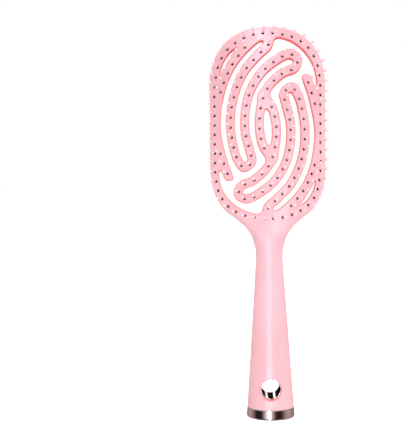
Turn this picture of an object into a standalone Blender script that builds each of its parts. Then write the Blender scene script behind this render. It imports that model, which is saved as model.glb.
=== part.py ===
"""Vented hairbrush, standing on its end cap, pins towards -Y.

The head is two thin shells with the same maze of open slots. Behind the front shell lie strips of
nylon pins, which stand out through round holes. A tongue at the bottom of both shells plugs into a
hollow handle. A tube lines the hanging hole and a cap closes the bottom of the handle.

Sizes are in millimetres and the model is made in metres. x runs across the brush, z up the handle,
and y from the pins (front, low) to the back. The origin is at the middle of the cap's flat bottom.
"""

import math

import bmesh
import bpy
import numpy as np
from mathutils.geometry import delaunay_2d_cdt

MM = 0.001

# Gap between pieces that seat on each other
GAP = 0.3

# Head outline: straight sides, a superellipse above, a spline below. All points on the head are
# shares of its half width and of its rise, from its centre
HEAD_CENTRE = 180.7
HEAD_HALF_WIDTH = 37.0
HEAD_RISE = 60.5
CROWN_SHARE = 0.57
CROWN_POWER = 2.4
STRAIGHT_SHARES = (0.165, -0.231)
SHOULDER = (
    (0.9919, -0.4628), (0.9459, -0.6281), (0.8595, -0.7603), (0.7297, -0.8678), (0.6, -0.9273),
    (0.4838, -0.9851),
)

# Joint of head and handle, and below it the neck as (half width, drop below the joint)
JOINT_SHARE = 0.9934
JOINT = HEAD_CENTRE - JOINT_SHARE * HEAD_RISE
NECK = ((13.7, 3.6), (10.5, 8.9), (8.7, 15.4), (8.2, 21.9))

# Head surface: an arc across, bowed the other way along, and as deep as this along y
ARC_ACROSS = 55.0
ARC_ALONG = 172.0
HEAD_DEPTH = 6.2
ROOT_DEPTH = 9.5
ROOT_RUN = 28.0

# Maze: a ribbon on a smooth centreline, from the top of the rim to the eye; its other half is
# this one turned half a turn about the head's centre
RIB_WIDTH = 5.6
FILLET = 3.6
RIBBON = (
    (0.0189, 0.9306), (0.0162, 0.8397), (-0.1459, 0.7455), (-0.3703, 0.6033), (-0.527, 0.4231),
    (-0.6216, 0.2116), (-0.6378, 0.0017), (-0.5811, -0.2231), (-0.5324, -0.3174), (-0.4189, -0.4149),
    (-0.2784, -0.3554), (-0.3135, -0.2397), (-0.3865, -0.043), (-0.3838, 0.1636), (-0.3027, 0.3653),
    (-0.1135, 0.5554), (0.1514, 0.686), (0.373, 0.7471), (0.5108, 0.7008), (0.4649, 0.6116),
    (0.2568, 0.5554), (0.0162, 0.4198), (-0.0865, 0.2909), (-0.1405, 0.1074), (-0.1405, -0.0331),
    (-0.0676, -0.2149), (0.0703, -0.3174),
)
# Window inside the rim, with the tab at its lower left; its other half is turned in the same way
WINDOW = (
    (-0.1108, 0.8744), (-0.2919, 0.7967), (-0.4297, 0.7157), (-0.5676, 0.6066), (-0.6703, 0.4876),
    (-0.7432, 0.3554), (-0.7919, 0.2149), (-0.8135, 0.0744), (-0.8027, -0.0496), (-0.7622, -0.1818),
    (-0.6892, -0.3521), (-0.5946, -0.519), (-0.6, -0.5405), (-0.6189, -0.5471), (-0.7189, -0.5471),
    (-0.7432, -0.5372), (-0.7946, -0.4612), (-0.8216, -0.4446), (-0.8459, -0.4595), (-0.8432, -0.5174),
    (-0.8027, -0.6182), (-0.7216, -0.7091), (-0.6, -0.7917), (-0.4622, -0.8496), (-0.3216, -0.886),
    (-0.1757, -0.9025),
)
# Crescent slot between the rim's two rows of pins, as its middle line and greatest width
CRESCENT = (
    (-0.4973, 0.8264), (-0.5973, 0.7802), (-0.673, 0.7256), (-0.7378, 0.6612), (-0.7811, 0.605),
    (-0.8135, 0.5471),
)
CRESCENT_WIDTH = 2.9

# Pins: rows at one pitch, on the ribbon's middle line, on the rim, beside the crescent, on the tab
PIN_PITCH = 6.5
RIM_PITCH = 6.1
PIN_LENGTH = 18.6
PIN_THICKNESS = 1.0
TIP_THICKNESS = 1.9
TIP_LENGTH = 1.7
TIP_FLAT = 0.8
PIN_FAN = 7.0
PIN_SIDES = 4
RIBBON_ROW_START = 5.6
RIM_ROW = (
    (0.0892, 0.9488), (0.4216, 0.9157), (0.6784, 0.8314), (0.8459, 0.6843), (0.9108, 0.5207),
    (0.9216, 0.1983), (0.9216, -0.1157), (0.9108, -0.4529), (0.8297, -0.6843), (0.6649, -0.8215),
    (0.3595, -0.9223), (0.0946, -0.9488),
)
CRESCENT_ROW = (
    (-0.3838, 0.8198), (-0.5946, 0.6661), (-0.7459, 0.4909), (-0.8081, 0.3901),
)
TAB_ROW = (
    (-0.7027, -0.4727), (-0.7676, -0.357), (-0.8216, -0.2579),
)
RIBBON_STRIPS = 6
RIM_STRIPS = 3

# Front shell: skin with the pin holes, walls round a shallow cavity that holds the strips
SKIN = 2.4
SHELL_WALL = 1.0
HOLE_WIDTH = 2.0
HOLE_SIDES = 6
STRIP_WIDTH = 2.0
STRIP_THICKNESS = 1.2
STRIP_OVERHANG = 1.6

# Side of the head's last stretch, which rolls off towards the neck
ROLL_WIDTH = 5.4
ROLL_FLATNESS = 0.6
ROLL_RUN = 12.0
ROLL_SHARE = 0.3

# Neck and handle: where the head's section has turned into the oval, and that oval's depth as a
# share of its width, with a narrow flat down each side
JOINT_FRONT = 6.5
BEND_RUN = 15.0
HANDLE_HALF_WIDTH = 14.8
OVAL_SHARE = 0.98
SIDE_FLAT = 0.5
HANDLE_WALL = 1.8
SECTION_TURNS = 13

# Drops below the joint of the handle's sections, of which the tongue shares the first; how far the
# tongue's side lies inside the neck's, its clearance front and back, and its corners across
TONGUE_DROPS = (3.3, 6.3, 9.3)
HANDLE_DROPS = (17.3, 27.3, 45.3, 65.3, 87.3)
TONGUE_SIDE = 4.4
TONGUE_GAP = 0.6
TONGUE_ACROSS = (1.0, 0.5, 0.0, -0.5, -1.0)

# Hanging hole and its liner
HOLE_LEVEL = 18.5
LINER_BORE = 11.2
LINER_WALL = 0.6
LINER_RECESS = 3.0
LINER_LIP = 0.25
BOSS_WALL = 1.6
HOLE_BEVEL = 0.7
ROUND_SIDES = 24

# End cap
CAP_HEIGHT = 5.9
CAP_EDGE = 1.4
CAP_FLOOR = 1.6
PLUG_WALL = 1.4
PLUG_HEIGHT = 3.0

# Fineness of the outlines; the grid is shifted so that none of its lines runs through their points
FIELD_STEP = 0.6
FIELD_MARGIN = 3.0
FIELD_SHIFT = 0.0137
FIELD_ERROR = 0.03
CHORD_ERROR = 0.1
FILL_SPACING = 7.0


# Curves in the plane of the head

def spline(points, closed=False, step=0.5):
    """Centripetal Catmull-Rom curve through points, as an array of close points."""
    p = np.array(points, float)
    if closed:
        p = np.vstack([p[-1], p, p[0], p[1]])
    else:
        p = np.vstack([2 * p[0] - p[1], p, 2 * p[-1] - p[-2]])
    curve = []
    for a, b, c, d in zip(p[:-3], p[1:-2], p[2:-1], p[3:]):
        t0 = 0.0
        t1 = t0 + math.sqrt(np.linalg.norm(b - a))
        t2 = t1 + math.sqrt(np.linalg.norm(c - b))
        t3 = t2 + math.sqrt(np.linalg.norm(d - c))
        count = max(2, math.ceil(np.linalg.norm(c - b) / step))
        t = np.linspace(t1, t2, count, endpoint=False)[:, None]
        ab = (t1 - t) / (t1 - t0) * a + (t - t0) / (t1 - t0) * b
        bc = (t2 - t) / (t2 - t1) * b + (t - t1) / (t2 - t1) * c
        cd = (t3 - t) / (t3 - t2) * c + (t - t2) / (t3 - t2) * d
        abc = (t2 - t) / (t2 - t0) * ab + (t - t0) / (t2 - t0) * bc
        bcd = (t3 - t) / (t3 - t1) * bc + (t - t1) / (t3 - t1) * cd
        curve.append((t2 - t) / (t2 - t1) * abc + (t - t1) / (t2 - t1) * bcd)
    if not closed:
        curve.append(p[-2:-1])
    return np.vstack(curve)


def extended(path, extra):
    """The path with a straight stretch added at each end."""
    first = path[0] - path[1]
    last = path[-1] - path[-2]
    start = path[0] + first / np.linalg.norm(first) * extra
    end = path[-1] + last / np.linalg.norm(last) * extra
    return np.vstack([start, path, end])


def on_head(shares):
    """Points from the head's centre for shares of its half width and rise."""
    return np.array(shares) * [HEAD_HALF_WIDTH, HEAD_RISE]


def half_turn(points):
    """The points turned half a turn about the head's centre."""
    return -np.array(points, float)


def lengths(path):
    """Distance along a path at each of its points."""
    return np.concatenate([[0.0], np.cumsum(np.linalg.norm(np.diff(path, axis=0), axis=1))])


def along(path, distances):
    """Points of a path at some distances from its start."""
    s = lengths(path)
    return np.column_stack([np.interp(distances, s, path[:, 0]), np.interp(distances, s, path[:, 1])])


def simplify(loop, error=CHORD_ERROR):
    """Fewest points of a closed loop in the head's plan that keep it within error, also along y."""
    loop = np.array(loop)
    lift = np.array([arc(x) - bow(z + HEAD_CENTRE) for x, z in loop])
    space = np.column_stack([loop, lift])
    far = int(np.argmax(np.linalg.norm(loop - loop[0], axis=1)))
    keep = {0, far}
    stack = [(0, far), (far, len(loop))]
    ring = np.vstack([space, space[:1]])
    while stack:
        i, j = stack.pop()
        if j - i < 2:
            continue
        a, b = ring[i], ring[j]
        chord = (b - a) / max(np.linalg.norm(b - a), 1e-9)
        rel = ring[i + 1:j] - a
        off = np.linalg.norm(rel - np.outer(rel @ chord, chord), axis=1)
        k = int(np.argmax(off))
        if off[k] > error:
            keep.add(i + 1 + k)
            stack += [(i, i + 1 + k), (i + 1 + k, j)]
    return loop[sorted(keep)]


def offset_sides(path, half_width):
    """The two lines beside a path, half_width away from it."""
    t = np.gradient(path, axis=0)
    t /= np.linalg.norm(t, axis=1)[:, None]
    normal = np.column_stack([-t[:, 1], t[:, 0]])
    return path + normal * half_width, path - normal * half_width


# Outline of the whole brush, seen from the front

def right_side():
    """Right edge of head and handle as (half width, z) points from the top down."""
    crown_rise = CROWN_SHARE * HEAD_RISE
    angle = np.linspace(0.0, math.pi / 2, 60)
    x = HEAD_HALF_WIDTH * np.sin(angle) ** (2 / CROWN_POWER)
    z = HEAD_RISE - crown_rise + crown_rise * np.cos(angle) ** (2 / CROWN_POWER)
    crown = np.column_stack([x, z + HEAD_CENTRE])
    straight = on_head([(1.0, level) for level in STRAIGHT_SHARES])
    shoulder = np.vstack([straight, on_head(SHOULDER)]) + [0.0, HEAD_CENTRE]
    neck = [(wide, JOINT - drop) for wide, drop in NECK]
    return np.vstack([crown, spline(np.vstack([shoulder, neck])), [(HANDLE_HALF_WIDTH, 0.0)]])


SIDE = right_side()


def half_width(z):
    """Half the brush's width at height z."""
    return float(np.interp(-z, -SIDE[:, 1], SIDE[:, 0]))


# Surfaces: every height is a y for a point (x, z)

def smooth(t):
    """Smooth step from 0 to 1."""
    t = min(1.0, max(0.0, t))
    return t * t * (3 - 2 * t)


def bow(z):
    """How far the head's middle line lies in front of its deepest point."""
    return (z - HEAD_CENTRE) ** 2 / (2 * ARC_ALONG)


def head_share(z):
    """How much the section at z has of the head's: all down to the joint, none below the neck."""
    return 1 - smooth((JOINT - z) / BEND_RUN)


def oval_depth(z):
    """Half the depth of the handle's oval."""
    return half_width(z) * OVAL_SHARE


def front_middle(z):
    """y of the front surface on the middle line."""
    if z >= JOINT:
        return bow(JOINT) - bow(z) - JOINT_FRONT
    share = head_share(z)
    return -share * JOINT_FRONT - (1 - share) * oval_depth(z)


def back_middle(z):
    """y of the back surface on the middle line."""
    if z >= JOINT:
        root = 1 - smooth((z - JOINT) / ROOT_RUN)
        return front_middle(z) + HEAD_DEPTH + (ROOT_DEPTH - HEAD_DEPTH) * root
    share = head_share(z)
    return share * (ROOT_DEPTH - JOINT_FRONT) + (1 - share) * oval_depth(z)


def arc(x):
    """How far the arc across the head falls back at x."""
    return ARC_ACROSS - math.sqrt(ARC_ACROSS ** 2 - x ** 2)


def roll_width(z):
    """Width of the head's rounded side: none above its last stretch, full from the joint down."""
    return ROLL_WIDTH * (1 - smooth((z - JOINT) / ROLL_RUN))


def roll(x, z, inset):
    """How far the rounded side has fallen away from the face at x: a quarter of an ellipse."""
    width = max(roll_width(z) - inset, 0.0)
    over = min(abs(x) - (half_width(z) - inset - width), width)
    if over <= 0:
        return 0.0
    return ROLL_FLATNESS * (width - math.sqrt(width ** 2 - over ** 2))


def oval(x, z, depth, inset):
    """How far the oval has fallen away from its middle line at x."""
    across = min(abs(x) / (half_width(z) - inset), 1.0)
    return (depth - SIDE_FLAT) * (1 - math.sqrt(1 - across ** 2))


def front(x, z, inset=0.0):
    """Front surface, or the surface inset behind it."""
    middle = front_middle(z) + inset
    share = head_share(z)
    fall = share * (arc(x) + roll(x, z, inset))
    if share < 1:
        fall += (1 - share) * oval(x, z, -middle, inset)
    return middle + fall


def back(x, z, inset=0.0):
    """Back surface, or the surface inset in front of it."""
    middle = back_middle(z) - inset
    share = head_share(z)
    fall = share * (arc(x) - roll(x, z, inset))
    if share < 1:
        fall -= (1 - share) * oval(x, z, middle, inset)
    return middle + fall


def behind_front(depth):
    """Surface a fixed depth behind the head's front surface, without its rounded sides."""
    return lambda x, z: front_middle(z) + arc(x) + depth


# Distance fields of the head's plan, in millimetres, negative inside the material

def path_distance(px, pz, path, closed=False):
    """Distance from grid points to a path."""
    ends = np.vstack([path[1:], path[:1]]) if closed else path[1:]
    best = np.full(px.shape, 1e9)
    for a, b in zip(path, ends):
        d = b - a
        t = np.clip(((px - a[0]) * d[0] + (pz - a[1]) * d[1]) / max(d @ d, 1e-12), 0, 1)
        best = np.minimum(best, (px - a[0] - t * d[0]) ** 2 + (pz - a[1] - t * d[1]) ** 2)
    return np.sqrt(best)


def inside(px, pz, loop):
    """Whether points lie inside a closed loop."""
    result = np.zeros(np.shape(px), bool)
    ends = np.vstack([loop[1:], loop[:1]])
    for a, b in zip(loop, ends):
        if a[1] != b[1]:
            crosses = (a[1] > pz) != (b[1] > pz)
            result ^= crosses & (px < (b[0] - a[0]) * (pz - a[1]) / (b[1] - a[1]) + a[0])
    return result


def loop_field(px, pz, loop):
    """Signed distance to a loop, negative inside it."""
    d = path_distance(px, pz, loop, closed=True)
    return np.where(inside(px, pz, loop), -d, d)


def join(a, b, radius=FILLET):
    """Union of two fields, with a fillet where they meet at an angle."""
    h = np.maximum(radius - np.abs(a - b), 0) / radius
    return np.minimum(a, b) - h * h * radius / 4


def crescent_loop():
    """Pointed slot round the crescent's middle line."""
    middle = spline(on_head(CRESCENT))
    s = lengths(middle) / lengths(middle)[-1]
    swell = np.sqrt(np.sin(np.pi * s).clip(0))[:, None]
    left, right = offset_sides(middle, 1.0)
    outer = middle + (left - middle) * swell * CRESCENT_WIDTH / 2
    inner = middle + (right - middle) * swell * CRESCENT_WIDTH / 2
    return np.vstack([outer, inner[::-1]])


def head_outline(bottom):
    """Closed outline of the head in its plan, cut straight at the level bottom."""
    side = SIDE - [0.0, HEAD_CENTRE]
    foot = [half_width(bottom + HEAD_CENTRE), bottom]
    right = np.vstack([side[side[:, 1] > bottom], foot])
    left = right[1:][::-1] * [-1, 1]
    return np.vstack([right, left])


def maze_field(px, pz):
    """Field of the rim, the ribbon and the tabs."""
    half = on_head(WINDOW)
    window = spline(np.vstack([half, half_turn(half)]), closed=True)
    field = -loop_field(px, pz, simplify(window, FIELD_ERROR))
    path = spline(on_head(RIBBON))
    for ribbon in (path, half_turn(path)):
        band = path_distance(px, pz, ribbon[::2]) - RIB_WIDTH / 2
        field = join(field, band)
    for slot in (crescent_loop(), half_turn(crescent_loop())):
        field = np.maximum(field, -loop_field(px, pz, slot))
    return field


def contours(xs, zs, field, level):
    """Closed loops where a gridded field equals level (marching squares)."""
    f = field - level
    f = np.where(np.abs(f) < 1e-6, 1e-6, f)
    links = {}

    def crossing(i, j, k, m):
        a, b = f[i, j], f[k, m]
        t = a / (a - b)
        return (xs[j] + t * (xs[m] - xs[j]), zs[i] + t * (zs[k] - zs[i]))

    def link(start, end):
        links.setdefault(start, []).append(end)

    where = {}
    for i in range(len(zs) - 1):
        for j in range(len(xs) - 1):
            square = ((i, j), (i, j + 1), (i + 1, j + 1), (i + 1, j))
            signs = [f[c] < 0 for c in square]
            if all(signs) or not any(signs):
                continue
            cuts = []
            for n in range(4):
                p, q = square[n], square[(n + 1) % 4]
                if signs[n] != signs[(n + 1) % 4]:
                    edge = (min(p, q), max(p, q))
                    where[edge] = crossing(*edge[0], *edge[1])
                    cuts.append((edge, signs[n]))
            if len(cuts) == 4 and not cuts[0][1]:
                cuts = cuts[1:] + cuts[:1]
            for n in range(0, len(cuts), 2):
                first, second = cuts[n], cuts[n + 1]
                if not first[1]:
                    first, second = second, first
                link(first[0], second[0])
    loops = []
    while links:
        start = next(iter(links))
        loop = [start]
        step = links[start].pop()
        if not links[start]:
            del links[start]
        while step != start:
            loop.append(step)
            following = links[step].pop()
            if not links[step]:
                del links[step]
            step = following
        loops.append(np.array([where[e] for e in loop]))
    return loops


def plan():
    """Loops of the head's plan: slots that go through, and the cavity behind the skin."""
    reach_x = HEAD_HALF_WIDTH + FIELD_MARGIN
    reach_z = HEAD_RISE + FIELD_MARGIN
    xs = np.arange(-reach_x, reach_x, FIELD_STEP) + FIELD_SHIFT
    zs = np.arange(-reach_z, reach_z, FIELD_STEP) + FIELD_SHIFT
    px, pz = np.meshgrid(xs, zs)
    maze = maze_field(px, pz)
    outline = loop_field(px, pz, simplify(head_outline(JOINT - HEAD_CENTRE), FIELD_ERROR))
    slots = [simplify(loop) for loop in contours(xs, zs, maze, 0.0)]
    cavity = [simplify(loop) for loop in contours(xs, zs, np.maximum(maze, outline), -SHELL_WALL)]
    to_part = np.array([0.0, HEAD_CENTRE])
    return [s + to_part for s in slots], [c + to_part for c in cavity]


# Solids made of sheets and walls

class Solid:
    """Faces of one closed body; points that coincide are shared."""

    def __init__(self):
        self.index = {}
        self.points = []
        self.faces = []

    def point(self, x, y, z):
        key = (round(x, 5), round(y, 5), round(z, 5))
        if key not in self.index:
            self.index[key] = len(self.points)
            self.points.append((x * MM, y * MM, z * MM))
        return self.index[key]

    def face(self, corners):
        self.faces.append([self.point(*c) for c in corners])

    def sheet(self, loops, height, fill=()):
        """Triangles over the plan that lies inside an odd number of the loops."""
        points = [tuple(p) for loop in loops for p in loop] + [tuple(p) for p in fill]
        edges = []
        first = 0
        for loop in loops:
            count = len(loop)
            edges += [(first + n, first + (n + 1) % count) for n in range(count)]
            first += count
        made, _, triangles, sources, _, _ = delaunay_2d_cdt(points, edges, [], 0, 1e-6)
        flat = np.array([points[own[0]] if own else tuple(p) for p, own in zip(made, sources)])
        triangles = np.array(triangles)
        middles = flat[triangles].mean(axis=1)
        odd = np.zeros(len(triangles), bool)
        for loop in loops:
            odd ^= inside(middles[:, 0], middles[:, 1], np.array(loop))
        for triangle in triangles[odd]:
            self.face([(flat[n][0], height(*flat[n]), flat[n][1]) for n in triangle])

    def wall(self, path, height_a, height_b, closed=True):
        """Strip of faces between two heights along a path."""
        path = [tuple(p) for p in path]
        ends = path[1:] + path[:1] if closed else path[1:]
        for (x0, z0), (x1, z1) in zip(path, ends):
            self.face([
                (x0, height_a(x0, z0), z0), (x1, height_a(x1, z1), z1),
                (x1, height_b(x1, z1), z1), (x0, height_b(x0, z0), z0),
            ])

    def bridge(self, ring_a, ring_b):
        """Faces between two rings with the same number of corners."""
        count = len(ring_a)
        for n in range(count):
            m = (n + 1) % count
            self.face([ring_a[n], ring_a[m], ring_b[m], ring_b[n]])

    def finish(self, name, material):
        mesh = bpy.data.meshes.new(name)
        mesh.from_pydata(self.points, [], self.faces)
        body = bmesh.new()
        body.from_mesh(mesh)
        bmesh.ops.triangulate(body, faces=[f for f in body.faces if len(f.verts) > 4])
        bmesh.ops.recalc_face_normals(body, faces=body.faces)
        body.to_mesh(mesh)
        body.free()
        mesh.materials.append(material)
        obj = bpy.data.objects.new(name, mesh)
        bpy.context.collection.objects.link(obj)
        mesh.shade_smooth()
        mesh.set_sharp_from_angle(angle=math.radians(35))
        return obj


def make_material(name, colour, roughness, metallic=0.0):
    material = bpy.data.materials.new(name)
    material.use_nodes = True
    shader = material.node_tree.nodes["Principled BSDF"]
    shader.inputs["Base Color"].default_value = (*colour, 1.0)
    shader.inputs["Roughness"].default_value = roughness
    shader.inputs["Metallic"].default_value = metallic
    return material


# Rows of pins

def row(path, start=STRIP_OVERHANG, end=STRIP_OVERHANG, pitch=PIN_PITCH):
    """Distances along a path at about the pitch, from start to end short of its end."""
    total = lengths(path)[-1] - start - end
    count = round(total / pitch) + 1
    return np.linspace(start, start + total, count)


def pin_rows():
    """Every strip as (name, path, places of its pins along that path)."""
    strips = []
    ribbon = spline(on_head(RIBBON))
    rim_row = on_head(RIM_ROW)
    rim = extended(spline(np.vstack([rim_row, half_turn(rim_row[:1])])), STRIP_OVERHANG)
    ribbon_end = lengths(spline(on_head(RIBBON[-2:])))[-1]
    ribbon_places = np.array_split(row(ribbon, RIBBON_ROW_START, ribbon_end), RIBBON_STRIPS)
    rim_places = np.array_split(row(rim, pitch=RIM_PITCH)[:-1], RIM_STRIPS)
    for side, turn in (("left", 1), ("right", -1)):
        for n, places in enumerate(ribbon_places):
            strips.append((f"pin_strip_{side}_rib_{n + 1}", ribbon * turn, places))
        for n, places in enumerate(rim_places):
            strips.append((f"pin_strip_{side}_rim_{n + 1}", rim * -turn, places))
        crescent = extended(spline(on_head(CRESCENT_ROW)), STRIP_OVERHANG) * turn
        strips.append((f"pin_strip_{side}_crescent", crescent, row(crescent)))
        tab = extended(spline(on_head(TAB_ROW)), STRIP_OVERHANG) * turn
        strips.append((f"pin_strip_{side}_tab", tab, row(tab)))
    return strips


def pin_places():
    """Place of every pin in the plan, in part coordinates."""
    return [p + [0.0, HEAD_CENTRE] for _, path, places in pin_rows() for p in along(path, places)]


def disc(centre, width, sides):
    """Small polygon round a point of the plan."""
    turn = math.pi / sides
    return np.array([
        (centre[0] + width / 2 * math.cos(turn + 2 * math.pi * n / sides),
         centre[1] + width / 2 * math.sin(turn + 2 * math.pi * n / sides))
        for n in range(sides)
    ])


def pin_direction(x):
    """Pins point forwards and fan out a little towards the sides."""
    angle = math.radians(PIN_FAN) * x / HEAD_HALF_WIDTH
    return np.array([math.sin(angle), -math.cos(angle), 0.0])


def add_pin(solid, base, place, height):
    """Four-sided shank with a swollen tip, standing on the strip's front face."""
    x, z = place
    direction = pin_direction(x)
    across = np.array([-direction[1], direction[0], 0.0])
    foot = np.array([x, height(x, z), z])
    reach = PIN_LENGTH + SKIN + GAP
    profile = (
        (reach - TIP_LENGTH, PIN_THICKNESS / 2),
        (reach - TIP_LENGTH / 2, TIP_THICKNESS / 2),
        (reach, TIP_FLAT / 2),
    )
    ring = [(p[0], height(*p), p[1]) for p in base]
    turn = math.pi / PIN_SIDES
    for distance, radius in profile:
        middle = foot + direction * distance
        following = []
        for n in range(PIN_SIDES):
            angle = turn + 2 * math.pi * n / PIN_SIDES
            offset = across * math.cos(angle) + np.array([0.0, 0.0, 1.0]) * math.sin(angle)
            following.append(tuple(middle + offset * radius))
        solid.bridge(ring, following)
        ring = following
    solid.face(ring)


def make_pin_strip(name, path, places, material):
    """Nylon strip behind the skin with its row of pins."""
    low = places[0] - STRIP_OVERHANG
    high = places[-1] + STRIP_OVERHANG
    between = (places[:-1] + places[1:]) / 2
    stations = np.sort(np.concatenate([[low], places, between, [high]]))
    middle = along(path, stations) + [0.0, HEAD_CENTRE]
    left, right = offset_sides(middle, STRIP_WIDTH / 2)
    outline = np.vstack([left, right[::-1]])
    near = behind_front(SKIN + GAP)
    far = behind_front(SKIN + GAP + STRIP_THICKNESS)
    solid = Solid()
    pins = [p + [0.0, HEAD_CENTRE] for p in along(path, places)]
    bases = [disc(p, PIN_THICKNESS, PIN_SIDES) for p in pins]
    solid.sheet([outline] + bases, near)
    solid.sheet([outline], far)
    solid.wall(outline, near, far)
    for base, place in zip(bases, pins):
        add_pin(solid, base, place, near)
    return solid.finish(name, material)


# Head shells

def joint_line():
    """Points of the head's straight bottom edge, right to left: shoulder, tongue, shoulder."""
    wide = half_width(JOINT)
    rolled = wide - ROLL_WIDTH * ROLL_SHARE
    narrow = wide - TONGUE_SIDE
    across = [narrow * part for part in TONGUE_ACROSS]
    return [(x, JOINT) for x in (wide, rolled, *across, -rolled, -wide)]


def tongue_side():
    """Tongue's outline from its right root round the tip to its left root."""
    levels = [JOINT] + [JOINT - drop for drop in TONGUE_DROPS]
    right = [(half_width(z) - TONGUE_SIDE, z) for z in levels]
    left = [(-x, z) for x, z in right[::-1]]
    tip_x, tip_z = right[-1]
    return right + [(tip_x * part, tip_z) for part in TONGUE_ACROSS[1:-1]] + left


def head_edge():
    """Head's outline above the joint, from its right corner over the top to its left corner."""
    outline = simplify(head_outline(JOINT - HEAD_CENTRE)) + [0.0, HEAD_CENTRE]
    right = sorted((tuple(p) for p in outline if p[0] > 0 and p[1] > JOINT), key=lambda p: p[1])
    left = [(-x, z) for x, z in right[::-1]]
    return right + [(0.0, HEAD_CENTRE + HEAD_RISE)] + left


def roll_points():
    """Points inside the plan where the head's face rolls off towards the neck's corners."""
    levels = np.linspace(JOINT, JOINT + ROLL_RUN, 5)[1:-1]
    return [
        (side * (half_width(z) - roll_width(z) * share), z)
        for z in levels for share in (ROLL_SHARE, 1.0) for side in (1, -1)
    ]


def fill_points(loops):
    """Points inside the plan that keep broad areas on the curved surface."""
    xs = np.arange(-HEAD_HALF_WIDTH, HEAD_HALF_WIDTH, FILL_SPACING) + FILL_SPACING / 2
    zs = np.arange(JOINT, HEAD_CENTRE + HEAD_RISE, FILL_SPACING) + FILL_SPACING / 2
    px, pz = np.meshgrid(xs, zs)
    odd = np.zeros(px.shape, bool)
    clear = np.full(px.shape, 1e9)
    for loop in loops:
        odd ^= inside(px, pz, np.array(loop))
        clear = np.minimum(clear, path_distance(px, pz, np.array(loop), closed=True))
    good = odd & (clear > FILL_SPACING / 4)
    return list(zip(px[good], pz[good]))


def make_head_shell(name, slots, near, far, step_near, step_far, material, cavity=(), floor=None, holes=()):
    """Shell of the head with its half of the tongue.

    near and far are the heights of its two faces. step_near or step_far is the tongue's own height
    on that side, where it steps in to fit inside the neck.
    """
    line = joint_line()
    edge = head_edge()
    tongue = tongue_side()
    head_loop = [line[0]] + edge + line[:0:-1]
    whole_loop = [line[0]] + edge + line[-1:-3:-1] + tongue[::-1] + [line[1]]
    solid = Solid()
    for height, step, openings in ((near, step_near, holes), (far, step_far, cavity)):
        if step is None:
            loops = [whole_loop] + list(slots) + list(openings)
            solid.sheet(loops, height, () if openings else fill_points(loops))
        else:
            loops = [head_loop] + list(slots) + list(openings)
            solid.sheet(loops, height, fill_points(loops) + roll_points())
            solid.sheet([line[2:-2] + tongue[::-1][1:-1]], step)
            solid.wall(line[2:-2], height, step, closed=False)
    solid.wall([line[0]] + edge + [line[-1]], near, far, closed=False)
    step = step_near or step_far
    for shoulder in (line[:3], line[:-4:-1]):
        heights = [(p, near) for p in shoulder] + [(shoulder[-1], step)]
        heights += [(p, far) for p in shoulder[::-1]]
        solid.face([(x, height(x, z), z) for (x, z), height in heights])
    solid.wall(tongue, step_near or near, step_far or far, closed=False)
    for slot in slots:
        solid.wall(slot, near, far)
    if floor:
        loops = list(cavity) + list(holes)
        solid.sheet(loops, floor, fill_points(loops))
        for loop in cavity:
            solid.wall(loop, far, floor)
        for hole in holes:
            solid.wall(hole, near, floor)
    return solid.finish(name, material)


# Handle, liner and cap

def section(z, inset=0.0, level=None):
    """Section of the neck or handle at z, as a ring at the height level."""
    wide = half_width(z) - inset
    turns = np.linspace(-math.pi / 2, math.pi / 2, SECTION_TURNS)
    row_x = [wide * math.sin(turn) for turn in turns]
    high = z if level is None else level
    face = [(x, front(x, z, inset), high) for x in row_x]
    return face + [(x, back(x, z, inset), high) for x in row_x[::-1]]


def loft(rings, ring_like=False):
    """Closed solid through rings: with flat ends, or joined end to start like a tyre."""
    solid = Solid()
    for a, b in zip(rings[:-1], rings[1:]):
        solid.bridge(a, b)
    if ring_like:
        solid.bridge(rings[-1], rings[0])
    else:
        solid.face(rings[0])
        solid.face(rings[-1])
    return solid


def hole_rings(profile):
    """Rings about the hanging hole's axis from (radius, y) points."""
    angles = [2 * math.pi * (n + 0.5) / ROUND_SIDES for n in range(ROUND_SIDES)]
    return [
        [(radius * math.cos(a), y, HOLE_LEVEL + radius * math.sin(a)) for a in angles]
        for radius, y in profile
    ]


def boolean(obj, tool, operation):
    """Live boolean modifier; the tool stays hidden."""
    modifier = obj.modifiers.new(operation.lower(), "BOOLEAN")
    modifier.operation = operation
    modifier.object = tool
    modifier.solver = "EXACT"
    tool.hide_render = True
    tool.display_type = "WIRE"


def bore_radius():
    """Radius of the bore that takes the liner."""
    return LINER_BORE / 2 + LINER_WALL + GAP


def boss_ring(surface, radius):
    """Ring of the boss's radius on a surface in the middle of the handle's wall."""
    ring = hole_rings([(radius, 0.0)])[0]
    return [(x, surface(x, z, HANDLE_WALL / 2), z) for x, _, z in ring]


def make_handle(material):
    """Hollow handle, open at both ends, with a boss round the hanging hole."""
    top = JOINT - GAP
    bottom = CAP_HEIGHT + GAP
    levels = [top] + [JOINT - drop for drop in TONGUE_DROPS + HANDLE_DROPS] + [bottom]
    outside = [section(z) for z in levels]
    hollow = [section(z, HANDLE_WALL) for z in levels[::-1]]
    handle = loft(outside + hollow, ring_like=True).finish("handle_shell", material)
    reach = oval_depth(HOLE_LEVEL)
    radius = bore_radius()
    boss_rings = [boss_ring(surface, radius + BOSS_WALL) for surface in (front, back)]
    boss = loft(boss_rings).finish("handle_boss", material)
    over = 1.0
    bore_profile = (
        (radius + HOLE_BEVEL + over, -reach - over), (radius, -reach + HOLE_BEVEL),
        (radius, reach - HOLE_BEVEL), (radius + HOLE_BEVEL + over, reach + over),
    )
    bore = loft(hole_rings(bore_profile)).finish("handle_bore", material)
    boolean(handle, boss, "UNION")
    boolean(handle, bore, "DIFFERENCE")
    return handle


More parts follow.
